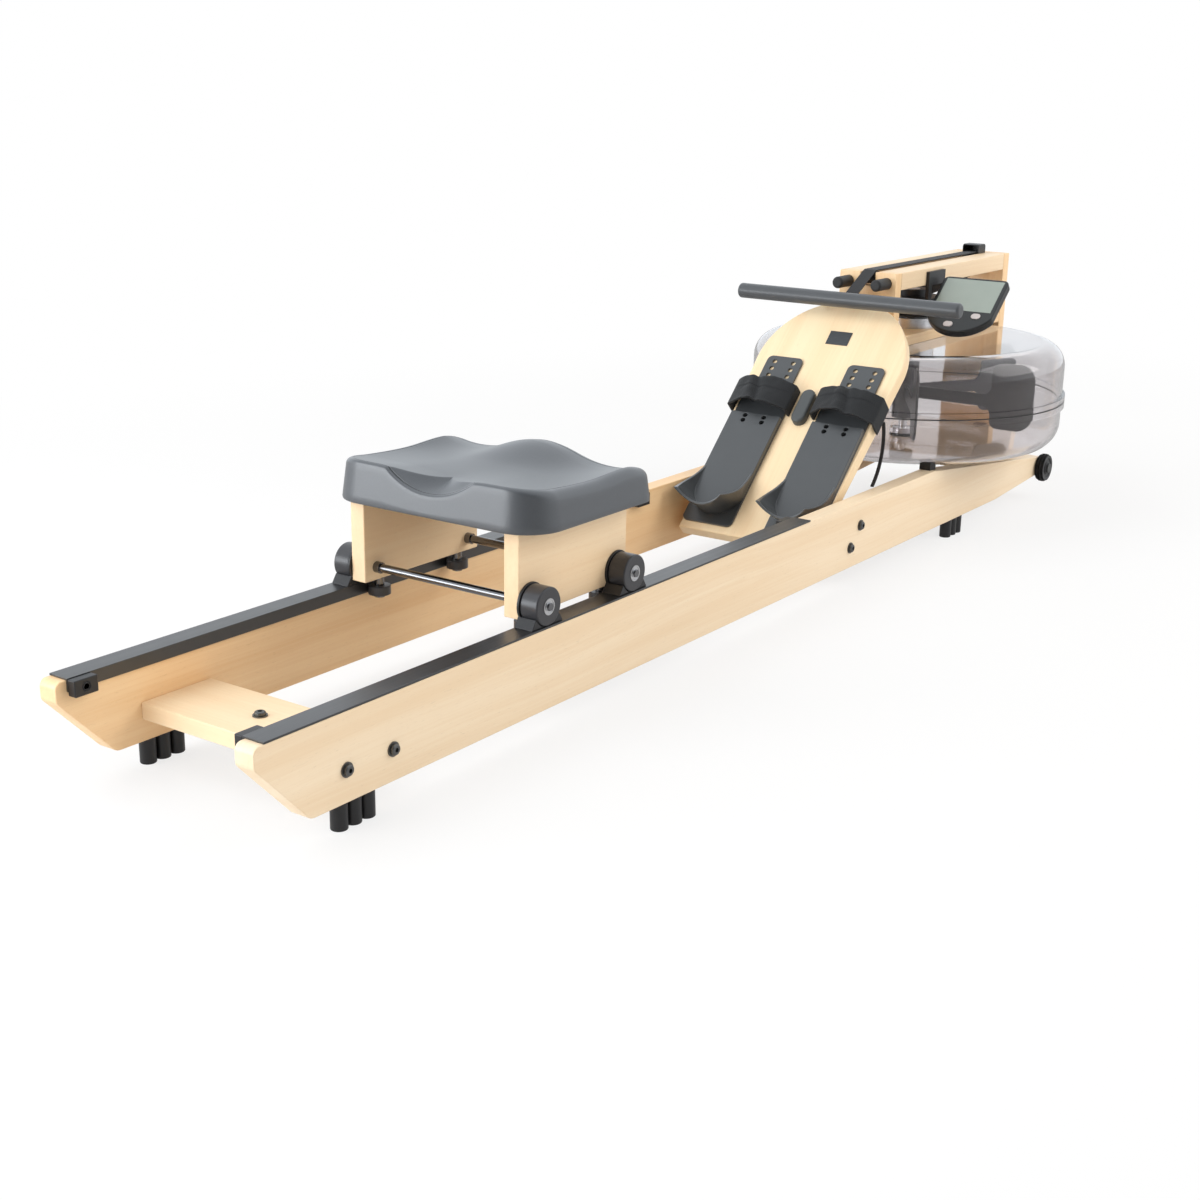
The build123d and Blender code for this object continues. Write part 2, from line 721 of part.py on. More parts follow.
inner_spiral = half_turns(0)
outer_spiral = half_turns(strap_thickness)
ends = [Line(inner_spiral[0] @ 0, outer_spiral[0] @ 0), Line(inner_spiral[-1] @ 1, outer_spiral[-1] @ 1)]
winding_middle = drum_bottom + drum_flange + drum_channel / 2
winding = extrude(make_face(inner_spiral + outer_spiral + ends), strap_width)
winding = Pos(0, 0, winding_middle - strap_width / 2) * winding
save("strap_winding", winding)
winding_outer = (outer_spiral[-1] @ 1).Y
samples = 36
middle_points = [edge @ (k / samples) for edge in half_turns(strap_thickness / 2) for k in range(samples)]
least = min((a - b).length for i, a in enumerate(middle_points) for b in middle_points[i + samples:])
print("strap winding, least gap to itself", round(least - strap_thickness, 2), "mm")

# Strap roller at the near end of the beam and strap pulley at its far end, with their journals
roller_x = sum(near_x) / 2
roller_z = strap_inner_top - seat_gap - strap_roller_radius
pulley_x = at(strap_pulley_station)
pulley_z = strap_inner_top - seat_gap - strap_pulley_radius


def journalled(x, z, radius, width):
    """A roller across the machine, with a journal at each end."""
    roller = rod_y(x, (-width / 2, width / 2), z, radius)
    return roller + rod_y(x, (-beam_slot - journal_depth, beam_slot + journal_depth), z, journal_radius)


def journal_bore(x, z):
    reach = beam_slot + journal_depth
    return rod_y(x, past(-reach, reach), z, journal_radius + running_clearance)


save("strap_roller", journalled(roller_x, roller_z, strap_roller_radius, strap_roller_width))
save("strap_pulley", journalled(pulley_x, pulley_z, strap_pulley_radius, strap_pulley_width))

# Drive strap: round the roller, along the beam, round the pulley, and twisted down to the drum
handle_x = at(handle_station)
roller_strap = strap_roller_radius + seat_gap
pulley_strap = strap_pulley_radius + seat_gap
reach = hypot(handle_x - roller_x, handle_height - roller_z)
lead_turn = degrees(atan2(handle_height - roller_z, handle_x - roller_x)) % 360
lead_turn -= degrees(acos((roller_strap + strap_thickness / 2) / reach))


def strap_edges(shift):
    """One face of the strap from the roller to the underside of the pulley."""
    over = CenterArc((roller_x, roller_z), roller_strap + shift, 90, lead_turn - 90)
    round_end = CenterArc((pulley_x, pulley_z), pulley_strap + shift, -90, 180)
    return [over, Line(over @ 0, round_end @ 1), round_end]


strap_inside = strap_edges(0)
strap_outside = strap_edges(strap_thickness)
strap_ends = [Line(strap_inside[0] @ 1, strap_outside[0] @ 1),
              Line(strap_inside[2] @ 0, strap_outside[2] @ 0)]
top_run = slab_y(strap_inside + strap_outside + strap_ends, (-strap_width / 2, strap_width / 2))
run_start = (pulley_x, 0, pulley_z - pulley_strap - strap_thickness / 2)
run_side = winding_outer + seat_gap + strap_thickness / 2
run_level = (tank_x + drum_flange_radius + strap_width / 2, run_side, winding_middle)
run_end = (tank_x, run_side, winding_middle)


def run_section(centre, turn):
    """The strap's section, turned about its length by a share of a quarter turn."""
    across = (0, cos(turn * pi / 2), sin(turn * pi / 2))
    plane = Plane(origin=centre, x_dir=across, z_dir=(-1, 0, 0))
    return plane * Rectangle(strap_width, strap_thickness)


sections = []
for i in range(twist_sections):
    share = i / (twist_sections - 1)
    centre = [a + (b - a) * share for a, b in zip(run_start, run_level)]
    sections.append(run_section(centre, share))
sections.append(run_section(run_end, 1))
return_run = loft(sections, ruled=True)
save("strap_run", top_run, return_run)

# Handle: a steel core in a foam grip, with the strap's lead held in a slot in its back
handle_y = (-handle_half, handle_half)
core_y = (-handle_half + handle_end, handle_half - handle_end)
core = rod_y(handle_x, core_y, handle_height, handle_core_radius)
grip = rod_y(handle_x, handle_y, handle_height, handle_grip_radius)
grip = fillet(grip.edges().filter_by(GeomType.CIRCLE), handle_end)
grip -= rod_y(handle_x, core_y, handle_height, handle_core_radius + running_clearance)
lead_start = strap_inside[0] @ 1 + (strap_outside[0] @ 1 - strap_inside[0] @ 1) / 2
lead_vector = Vector(handle_x - lead_start.X, handle_height - lead_start.Y)
lead_length = lead_vector.length
lead_angle = degrees(atan2(lead_vector.Y, lead_vector.X))
lead_frame = Pos(handle_x, 0, handle_height) * Rot(0, -lead_angle, 0)
lead_back = -handle_core_radius - seat_gap
slot_y = strap_width / 2 + seat_gap
slot_z = strap_thickness / 2 + seat_gap
grip -= lead_frame * block((-2 * handle_grip_radius, 0), (-slot_y, slot_y), (-slot_z, slot_z))
grip -= rod_y(handle_x, (-slot_y, slot_y), handle_height, handle_core_radius + running_clearance)
lead = lead_frame * block((-lead_length + seat_gap, lead_back), (-strap_width / 2, strap_width / 2),
                          (-strap_thickness / 2, strap_thickness / 2))
save("handle_core", core)
save("handle_grip", grip)
save("strap_lead", lead)

# Beam cheeks, each side of the strap's slot
cheek = block((near_x[1], post_x[0]), (-beam_half, -beam_slot), (beam_top - beam_depth, beam_top))
cheek -= journal_bore(pulley_x, pulley_z)
save("beam_cheeks", *both_sides(cheek))

# Near post: carries the beam's near end, notched for the strap roller, with sockets for the pegs
near_post = block(near_x, (-beam_half, beam_half), (tank_top, beam_top))
notch_floor = roller_z - strap_roller_radius - roller_notch_gap
near_post -= block(past(*near_x), (-beam_slot, beam_slot), (notch_floor, beam_top + cut_past))
near_post -= journal_bore(roller_x, roller_z)
for side in (-1, 1):
    socket_x = (near_x[0] - cut_past, near_x[0] + peg_spigot + seat_gap)
    near_post -= rod_x(socket_x, side * peg_across, peg_z, peg_spigot_radius + hole_clearance)
save("beam_near_post", near_post)

# Rubber pegs that the handle rests under
peg = rod_x((near_x[0] - peg_length, near_x[0]), -peg_across, peg_z, peg_radius)
peg = fillet(peg.edges().group_by(Axis.X)[0], peg_edge)
peg += rod_x((near_x[0], near_x[0] + peg_spigot), -peg_across, peg_z, peg_spigot_radius)
save("handle_pegs", *both_sides(peg))

# Far post, from the cross plank to the beam
far_post = block(post_x, (-beam_half, beam_half), (far_post_foot, beam_top))
save("far_post", far_post)

# Cover over the strap pulley
cover_x = (pulley_x - cover_length / 2, pulley_x + cover_length / 2)
cover = block(cover_x, (-cover_half, cover_half), (beam_top, beam_top + cover_height))
cover = fillet(cover.edges().filter_by(Axis.Y).group_by(Axis.Z)[-1], cover_corner)
tunnel_y = (cover_wall - cover_half, cover_half - cover_wall)
tunnel_z = (beam_top - cut_past, beam_top + cover_height - cover_wall)
cover -= block((cover_x[0] - cut_past, cover_x[1] - cover_wall), tunnel_y, tunnel_z)
save("pulley_cover", cover)

# Footboard with its arched top, the batten behind it and the blank plate on it
board = make_face([
    Line((0, board_arch), (-board_waist_drop, board_waist)),
    Line((-board_waist_drop, board_waist), (-board_drop, board_waist)),
    Line((-board_drop, board_waist), (-board_drop, -board_waist)),
    Line((-board_drop, -board_waist), (-board_waist_drop, -board_waist)),
    Line((-board_waist_drop, -board_waist), (0, -board_arch)),
    CenterArc((0, 0), board_arch, -90, 180),
])
board = extrude(board, -board_thickness)
board = fillet(board.edges().group_by(Axis.Z)[-1], board_edge)
save("footboard", foot_frame * board)
batten = block((batten_low, -batten_drop), (-rail_inner, rail_inner),
               (-board_thickness - batten_thickness, -board_thickness))
batten = foot_frame * batten
for x, z in batten_bolts:
    hole = rod_y(x, bolt_reach, z, bolt_radius + hole_clearance)
    batten -= hole + other_side(hole)
save("footboard_batten", batten)
badge = block((plate_badge_rise - plate_badge_length / 2, plate_badge_rise + plate_badge_length / 2),
              (-plate_badge_width / 2, plate_badge_width / 2), (0, plate_badge_thickness))
save("blank_plate", foot_frame * badge)

# Knee block between the footboard's back, the near post and the tank's top
knee_x, knee_z = on_board(knee_high, -board_thickness)
knee_low_z = tank_top + knee_lift
knee_low_x = knee_x - (knee_z - knee_low_z) / tan(slope)
knee = slab_y(Polyline((knee_low_x, knee_low_z), (near_x[0], knee_low_z), (near_x[0], knee_z),
                       (knee_x, knee_z), close=True), (-beam_half, beam_half))
save("knee_block", knee)

# Foot plates, with a tongue of peg holes
plate = make_face(FilletPolyline(
    (0, foot_middle - foot_tongue_half),
    (0, foot_middle + foot_tongue_half),
    (-foot_tongue_drop, foot_middle + foot_tongue_half),
    (-foot_tongue_drop - foot_plate_corner, foot_middle + foot_plate_half),
    (-foot_plate_bottom, foot_middle + foot_plate_half),
    (-foot_plate_bottom, foot_middle - foot_plate_half),
    (-foot_tongue_drop - foot_plate_corner, foot_middle - foot_plate_half),
    (-foot_tongue_drop, foot_middle - foot_tongue_half),
    radius=[foot_plate_corner, foot_plate_corner, 0, 0, foot_plate_corner, foot_plate_corner, 0, 0],
    close=True,
))
plate = extrude(plate, foot_plate_thickness)
for i in range(peg_hole_rows):
    for side in (-1, 1):
        plate -= rod_z(-peg_hole_first - i * peg_hole_pitch, foot_middle + side * peg_hole_spread,
                       past(0, foot_plate_thickness), peg_hole_radius)
save("foot_plates", *both_sides(foot_frame * plate))

# Heel rests: trays that slide on the foot plates, with a flared cup round the heel
tray_low = foot_plate_thickness + seat_gap
tray_top = tray_low + heel_thickness
cup_centre = -heel_end_drop + foot_plate_half


def heel_plan(front, half):
    """A strip up to front, this wide to each side, with a half-round rear end."""
    return make_face([
        Line((cup_centre, foot_middle - half), (front, foot_middle - half)),
        Line((front, foot_middle - half), (front, foot_middle + half)),
        Line((front, foot_middle + half), (cup_centre, foot_middle + half)),
        CenterArc((cup_centre, foot_middle), half, 90, 180),
    ])


heel = Pos(0, 0, tray_low) * extrude(heel_plan(-heel_top_drop, foot_plate_half), heel_thickness)
for i in range(tray_hole_rows):
    for side in (-1, 1):
        heel -= rod_z(-heel_top_drop - tray_hole_first - i * tray_hole_pitch,
                      foot_middle + side * peg_hole_spread, past(tray_low, tray_top), peg_hole_radius)
cup_inner = foot_plate_half - heel_cup_wall / cos(radians(heel_cup_flare))
cup = extrude(heel_plan(-heel_wing_drop, foot_plate_half), heel_cup_height, taper=-heel_cup_flare)
cup -= extrude(heel_plan(-heel_wing_drop + foot_plate_half, cup_inner), heel_cup_height,
               taper=-heel_cup_flare)
wing_edge = [(-heel_wing_drop, 0)] + [(-heel_wing_drop - drop, rise) for drop, rise in heel_wing_rise]
wing_front = -heel_wing_drop + 2 * foot_plate_half
wing_top = wing_edge[2][1]
above = [
    ThreePointArc(*wing_edge),
    Line(wing_edge[2], (wing_front, wing_top)),
    Line((wing_front, wing_top), (wing_front, 0)),
    Line((wing_front, 0), wing_edge[0]),
]
cup_sides = (foot_middle - 2 * foot_plate_half, foot_middle + 2 * foot_plate_half)
cup -= slab_y(above, cup_sides)
lip_x = (-heel_end_drop - foot_plate_half, cup_centre)
cup -= rod_x(lip_x, foot_middle, heel_lip_height + heel_lip_radius, heel_lip_radius)
heel += Pos(0, 0, tray_top) * cup
save("left_heel_rest", foot_frame * heel)
save("right_heel_rest", other_side(foot_frame * heel))

# Foot straps: a padded band arched over each foot, hemmed round the footboard's outer edge, with a
# loose tail that hangs from the hem
board_side = board_arch - (board_arch - board_waist) * strap_pad_drop / board_waist_drop
band_inner = foot_middle - strap_pad_inner
band_outer = board_side + seat_gap


def band_edges(shift):
    """One face of the band across the machine: inner leg, arch and outer leg."""
    inner = band_inner - shift
    outer = band_outer + shift
    arch = ThreePointArc((inner, strap_pad_inner_leg), (foot_middle, strap_pad_crown + shift),
                         (outer, strap_pad_outer_leg))
    return [Line((inner, 0), arch @ 0), arch, Line(arch @ 1, (outer, -strap_pad_hem))]


inside = band_edges(0)
outside = band_edges(strap_pad_thickness)
band_ends = [Line(inside[0] @ 0, outside[0] @ 0), Line(inside[2] @ 1, outside[2] @ 1)]
band = make_face(inside + outside + band_ends)
band_plane = Plane(origin=(-strap_pad_drop - strap_pad_width, 0, 0), x_dir=(0, 1, 0), z_dir=(1, 0, 0))
band = foot_frame * extrude(band_plane * band, strap_pad_width)
tail_x, tail_z = on_board(-strap_pad_drop - strap_pad_width / 2, -strap_pad_hem)


def tail_edge(shift):
    """One face of the tail, seen from the side."""
    x = tail_x + shift
    return ThreePointArc((x, tail_z), (x + strap_tail_bulge, tail_z - strap_tail_length / 2),
                         (x - strap_tail_return, tail_z - strap_tail_length))


near_face = tail_edge(0)
far_face = tail_edge(strap_tail_thickness)
tail_ends = [Line(near_face @ 0, far_face @ 0), Line(near_face @ 1, far_face @ 1)]
tail = slab_y([near_face, far_face] + tail_ends, (band_outer, band_outer + strap_tail_width))
tail -= band
save("foot_straps", *both_sides(band), *both_sides(tail))

# Strap keeper: a capsule on the footboard between the feet
keeper = extrude(SlotOverall(keeper_length, keeper_width), keeper_height)
keeper = fillet(keeper.edges().group_by(Axis.Z)[-1], keeper_edge)
save("strap_keeper", foot_frame * (Pos(-keeper_drop, 0, 0) * keeper))

# Seat carriage: two side boards
seat_x = at(seat_station)
board_low = track_top + seat_board_lift
board_high = board_low + seat_board_height
seat_board_outer = seat_board_inner + seat_board_thickness
axle_z = track_top + seat_gap + roller_radius
axle_xs = (seat_x - roller_offset, seat_x + roller_offset)
guide_xs = (seat_x - guide_roller_offset, seat_x + guide_roller_offset)
guide_y = lip_face - seat_gap - guide_roller_radius
seat_board = block((seat_x - seat_board_length / 2, seat_x + seat_board_length / 2),
                   (-seat_board_outer, -seat_board_inner), (board_low, board_high))
for x in axle_xs:
    seat_board -= rod_y(x, past(-seat_board_outer, -seat_board_inner), axle_z, axle_radius + hole_clearance)
for x in guide_xs:
    seat_board -= rod_z(x, -guide_y, past(board_low, board_low + guide_bolt_grip),
                        guide_bolt_radius + hole_clearance)
save("seat_boards", *both_sides(seat_board))

# Rollers on the tracks, their bearings, the guards beside them and the axle rods
guard_y = (-seat_board_outer - guard_thickness, -seat_board_outer)
roller_y = (guard_y[0] - seat_gap - roller_width, guard_y[0] - seat_gap)
axle_rods = []
bearing_rings = []
guards = []
for node, x in (("rear_rollers", axle_xs[0]), ("front_rollers", axle_xs[1])):
    roller = rod_y(x, roller_y, axle_z, roller_radius)
    roller = fillet(roller.edges().filter_by(GeomType.CIRCLE), roller_edge)
    roller -= rod_y(x, past(*roller_y), axle_z, bearing_radius + running_clearance)
    save(node, *both_sides(roller))
    ring_y = (roller_y[0] - bearing_proud, guard_y[0])
    ring = rod_y(x, ring_y, axle_z, bearing_radius)
    ring -= rod_y(x, past(*ring_y), axle_z, axle_radius + hole_clearance)
    bearing_rings += both_sides(ring)
    nut_y = roller_y[0] - bearing_proud
    rod = rod_y(x, (nut_y - axle_nut, -nut_y + axle_nut), axle_z, axle_radius)
    rod += rod_y(x, (-seat_board_inner, seat_board_inner), axle_z, axle_tube_radius)
    for side in (-1, 1):
        face = side * seat_board_inner
        collar_y = sorted((face, face - side * axle_collar))
        rod += rod_y(x, collar_y, axle_z, axle_collar_radius)
        nut = extrude(RegularPolygon(axle_nut_flats / 2, 6, major_radius=False), axle_nut)
        rod += Pos(x, side * -nut_y, axle_z) * Rot(-90 * side, 0, 0) * nut
    axle_rods.append(rod)
    arch_radius = roller_radius + guard_margin
    toe_reach = arch_radius + guard_toe
    toe_z = (track_top + seat_gap, track_top + seat_gap + guard_toe_height)
    arch_side = sqrt(arch_radius ** 2 - (toe_z[1] - axle_z) ** 2)
    guard = make_face([
        Line((x - toe_reach, toe_z[0]), (x + toe_reach, toe_z[0])),
        Line((x + toe_reach, toe_z[0]), (x + arch_side, toe_z[1])),
        ThreePointArc((x + arch_side, toe_z[1]), (x, axle_z + arch_radius), (x - arch_side, toe_z[1])),
        Line((x - arch_side, toe_z[1]), (x - toe_reach, toe_z[0])),
    ]).edges()
    guard = slab_y(guard, guard_y)
    toe_y = (roller_y[0] + roller_edge, guard_y[1])
    toe = slab_y(Polyline((x - toe_reach, toe_z[0]), (x + toe_reach, toe_z[0]), (x + arch_side, toe_z[1]),
                          (x - arch_side, toe_z[1]), close=True), toe_y)
    toe -= rod_y(x, (roller_y[0] - cut_past, guard_y[0]), axle_z, roller_radius + 2 * seat_gap)
    guard += toe
    guard -= rod_y(x, past(*guard_y), axle_z, axle_radius + hole_clearance)
    guards += both_sides(guard.solids().sort_by(SortBy.VOLUME)[-1])
save("roller_bearings", *bearing_rings)
save("roller_guards", *guards)

# Guide rollers under the boards, running on the inner lips of the tracks, and their bolts
guide_z = (track_top - guide_roller_drop - guide_roller_height, track_top - guide_roller_drop)
hardware = list(axle_rods)
for end, x in (("rear", guide_xs[0]), ("front", guide_xs[1])):
    guide = rod_z(x, -guide_y, guide_z, guide_roller_radius)
    guide = fillet(guide.edges().filter_by(GeomType.CIRCLE), guide_roller_edge)
    guide -= rod_z(x, -guide_y, past(*guide_z), guide_bolt_radius + running_clearance)
    save(f"right_{end}_guide_roller", guide)
    save(f"left_{end}_guide_roller", other_side(guide))
    bolt = rod_z(x, -guide_y, (guide_z[0] - seat_gap, board_low + guide_bolt_grip), guide_bolt_radius)
    bolt += rod_z(x, -guide_y, (guide_z[0] - seat_gap - guide_bolt_head, guide_z[0] - seat_gap),
                  guide_bolt_head_radius)
    bolt += rod_z(x, -guide_y, (guide_z[1] + seat_gap, board_low), guide_spacer_radius)
    hardware += both_sides(bolt)
save("seat_axles", *hardware)

# Seat pan, let into the underside of the moulded cushion
cushion_middle_x = seat_x + cushion_offset
cushion_x = (cushion_middle_x - cushion_length / 2, cushion_middle_x + cushion_length / 2)
half_width = cushion_width / 2


def cushion_plan(inset):
    """The cushion's outline in plan, drawn in by inset."""
    x = (cushion_x[0] + inset, cushion_x[1] - inset)
    y = half_width - inset
    rear = cushion_rear_corner - inset
    front = cushion_front_corner - inset
    return make_face(FilletPolyline((x[0], -y), (x[1], -y), (x[1], y), (x[0], y),
                                    radius=[rear, front, front, rear], close=True))


pan = Pos(0, 0, board_high) * extrude(cushion_plan(pan_margin), pan_thickness)
save("seat_pan", pan)


def cushion_section(station, heights):
    """A closed outline across the seat: flat below, upright sides, three arcs on top."""
    edge, valley, shoulder, middle, wave = heights
    hollow = (wave + half_width) / 2
    top = [
        ThreePointArc((-half_width, edge), (-hollow, valley), (-wave, shoulder)),
        ThreePointArc((-wave, shoulder), (0, middle), (wave, shoulder)),
        ThreePointArc((wave, shoulder), (hollow, valley), (half_width, edge)),
    ]
    rest = [Line((half_width, edge), (half_width, 0)), Line((half_width, 0), (-half_width, 0)),
            Line((-half_width, 0), (-half_width, edge))]
    plane = Plane(origin=(cushion_x[0] + station, 0, board_high), x_dir=(0, 1, 0), z_dir=(1, 0, 0))
    return plane * make_face(top + rest)


cushion = loft([
    cushion_section(0, cushion_rear),
    cushion_section(cushion_third_station, cushion_rear_third),
    cushion_section(cushion_middle_station, cushion_middle),
    cushion_section(cushion_pommel_station, cushion_pommel),
    cushion_section(cushion_length, cushion_front),
])
cushion &= Pos(0, 0, board_high) * extrude(cushion_plan(0), 2 * max(cushion_pommel), taper=cushion_draw)
pocket = extrude(cushion_plan(pan_margin - seat_gap), cut_past + pan_thickness + seat_gap)
cushion -= Pos(0, 0, board_high - cut_past) * pocket
save("seat_cushion", cushion)

# Monitor: a housing with a round chin, its display lens, two sprung buttons and the arm
tilt = radians(monitor_tilt)
monitor_x = at(monitor_station)
monitor_frame = Plane(origin=(monitor_x, -monitor_across, monitor_height), x_dir=(cos(tilt), 0, sin(tilt)),
                      z_dir=(-sin(tilt), 0, cos(tilt))).location
face = make_face([
    Line((-monitor_down, monitor_half), (monitor_up, monitor_half)),
    Line((monitor_up, monitor_half), (monitor_up, -monitor_half)),
    Line((monitor_up, -monitor_half), (-monitor_down, -monitor_half)),
    ThreePointArc((-monitor_down, -monitor_half), (-monitor_chin, 0), (-monitor_down, monitor_half)),
])
housing = extrude(face, -monitor_depth)
housing = fillet(housing.edges().filter_by(Axis.Z), monitor_edge * 2)
housing = fillet(housing.edges().group_by(Axis.Z)[-1], monitor_edge / 2)
housing = fillet(housing.edges().group_by(Axis.Z)[0], monitor_edge)
lens_x = (lens_rise - lens_height / 2, lens_rise + lens_height / 2)
lens = block(lens_x, (-lens_width / 2, lens_width / 2), (-lens_thickness, 0))
housing -= lens
buttons = {"right_button": (right_button_rise, right_button_across),
           "left_button": (left_button_rise, left_button_across)}
button_floor = -button_thickness - button_travel
for node, (rise, across) in buttons.items():
    place = Pos(rise, across, 0) * Rot(0, 0, 90)
    oval = SlotCenterToCenter(2 * button_half, 2 * button_radius)
    well = SlotCenterToCenter(2 * button_half, 2 * (button_radius + seat_gap))
    housing -= place * Pos(0, 0, button_floor) * extrude(well, cut_past - button_floor)
    cap = extrude(oval, button_thickness + button_proud - seat_gap)
    cap = fillet(cap.edges().group_by(Axis.Z)[-1], button_proud / 2)
    save(node, monitor_frame * place * Pos(0, 0, -button_thickness + seat_gap) * cap)
housing -= rod_y(0, past(-pivot_past, monitor_half), -pivot_back, pivot_radius + running_clearance)
save("monitor_housing", monitor_frame * housing)
save("monitor_lens", monitor_frame * lens)
pivot_point = monitor_frame * Pos(0, 0, -pivot_back)
pivot_x = pivot_point.position.X
pivot_z = pivot_point.position.Z
cheek_low = beam_top - beam_depth
arm_y = (-beam_half - arm_thickness, -beam_half)
arm_top = cheek_low + arm_plate_height
arm = block((pivot_x - arm_radius, pivot_x + arm_plate_length), arm_y, (cheek_low, arm_top))
arm += block((pivot_x - arm_radius, pivot_x + arm_radius), arm_y, (pivot_z, arm_top))
arm += rod_y(pivot_x, arm_y, pivot_z, arm_radius)
arm += rod_y(pivot_x, (-monitor_across - pivot_past, -beam_half), pivot_z, pivot_radius)
save("monitor_arm", arm)

print("overall length", round(overall_length, 2), "mm")
print("monitor pivot", round(pivot_x, 2), round(pivot_z, 2))
print("seat travel", round(stop_starts[0] + stop_length - guide_xs[0] + guide_roller_radius, 2),
      round(stop_starts[1] - guide_xs[1] - guide_roller_radius, 2))
print("seat axles", [round(x, 2) for x in axle_xs], round(axle_z, 2))
print("guide rollers", [round(x, 2) for x in guide_xs], round(guide_y, 2))
print("strap roller", round(roller_x, 2), round(roller_z, 2))
print("strap pulley", round(pulley_x, 2), round(pulley_z, 2))
print("tank axis", round(tank_x, 2), "winding radius", round(winding_outer, 2))
print("wheels", round(wheel_place[0], 2), round(wheel_place[1], 2))
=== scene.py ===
from math import acos, atan2, cos, degrees, exp, hypot, pi, radians, sin, tan

import bpy
from mathutils import Matrix, Vector, noise


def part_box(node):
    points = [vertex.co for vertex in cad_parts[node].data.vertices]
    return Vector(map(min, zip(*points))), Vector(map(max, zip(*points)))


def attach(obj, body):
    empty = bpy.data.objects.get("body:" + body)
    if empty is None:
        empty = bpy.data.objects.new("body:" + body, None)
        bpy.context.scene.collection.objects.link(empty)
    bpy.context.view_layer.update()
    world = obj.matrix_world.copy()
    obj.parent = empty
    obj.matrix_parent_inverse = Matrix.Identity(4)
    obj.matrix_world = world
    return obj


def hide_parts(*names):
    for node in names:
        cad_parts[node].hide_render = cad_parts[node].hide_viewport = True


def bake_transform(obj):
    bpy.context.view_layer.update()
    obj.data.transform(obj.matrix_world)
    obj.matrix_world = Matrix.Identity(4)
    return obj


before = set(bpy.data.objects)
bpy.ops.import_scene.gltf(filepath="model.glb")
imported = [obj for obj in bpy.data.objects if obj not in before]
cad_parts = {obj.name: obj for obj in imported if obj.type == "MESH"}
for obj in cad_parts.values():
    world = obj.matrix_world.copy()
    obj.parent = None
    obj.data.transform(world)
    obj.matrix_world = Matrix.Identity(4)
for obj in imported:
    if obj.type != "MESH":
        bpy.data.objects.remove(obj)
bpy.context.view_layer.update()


# Studio: a plain pale floor in a white room whose near wall is dim. A wide soft lamp hangs above the
# seat end, one stands low behind it and one fills from the right, so the floor's shadows stay faint.
# Only the low lamp is mirrored by glossy pieces.
class Field:
    """A shader socket; sums and products of fields and numbers add their own Math nodes."""

    def __init__(self, tree, socket):
        self.tree = tree
        self.socket = socket

    def math(self, operation, first, second):
        node = self.tree.nodes.new("ShaderNodeMath")
        node.operation = operation
        for socket, value in zip(node.inputs, (first, second)):
            feed(self.tree, socket, value)
        return Field(self.tree, node.outputs[0])

    def __add__(self, other):
        return self.math("ADD", self, other)

    def __radd__(self, other):
        return self.math("ADD", other, self)

    def __sub__(self, other):
        return self.math("SUBTRACT", self, other)

    def __rsub__(self, other):
        return self.math("SUBTRACT", other, self)

    def __mul__(self, other):
        return self.math("MULTIPLY", self, other)

    def __rmul__(self, other):
        return self.math("MULTIPLY", other, self)

    def __or__(self, other):
        return self.math("MAXIMUM", self, other)

    def __abs__(self):
        return self.math("ABSOLUTE", self, 0.0)


def feed(tree, socket, value):
    """Links a field to a socket, or sets the socket's own value."""
    if isinstance(value, Field):
        tree.links.new(value.socket, socket)
    elif socket.type == "RGBA" and len(value) == 3:
        socket.default_value = (*value, 1.0)
    else:
        socket.default_value = value


class Finish:
    """A material, or the room's node tree; node() adds any node, with its settings first."""

    def __init__(self, name, tree=None):
        if tree is None:
            self.material = bpy.data.materials.new(name)
            self.material.use_nodes = True
            tree = self.material.node_tree
        self.tree = tree
        self.tree.nodes.clear()

    def node(self, kind, settings=None, sockets=None, output=0):
        node = self.tree.nodes.new("ShaderNode" + kind)
        settings = dict(settings or {})
        stops = settings.pop("stops", [])
        for key, value in settings.items():
            setattr(node, key, value)
        for i, (place, colour) in enumerate(stops):
            steps = node.color_ramp.elements
            step = steps[i] if i < 2 else steps.new(place)
            step.position = place
            step.color = (*colour, 1.0)
        for key, value in (sockets or {}).items():
            feed(self.tree, node.inputs[key], value)
        return Field(self.tree, node.outputs[output]) if len(node.outputs) else None

    def mix(self, share, first, second):
        return self.node("Mix", {"data_type": "RGBA"}, {0: share, 6: first, 7: second}, 2)

    def scaled(self, vector, scale):
        return self.node("VectorMath", {"operation": "MULTIPLY"}, {0: vector, 1: scale})

    def noise(self, vector, scale, detail=2.0, roughness=0.5):
        return self.node("TexNoise", None, {"Vector": vector, "Scale": scale, "Detail": detail,
                                            "Roughness": roughness})

    def smooth(self, value, low, high, to_low=0.0, to_high=1.0):
        return self.node("MapRange", {"interpolation_type": "SMOOTHSTEP"}, {
            "Value": value, "From Min": low, "From Max": high, "To Min": to_low, "To Max": to_high})

    def bump(self, height, strength, distance):
        return self.node("Bump", None, {"Height": height, "Strength": strength, "Distance": distance})

    def surface(self, sockets):
        shader = self.node("BsdfPrincipled", None, sockets)
        self.node("OutputMaterial", None, {"Surface": shader})


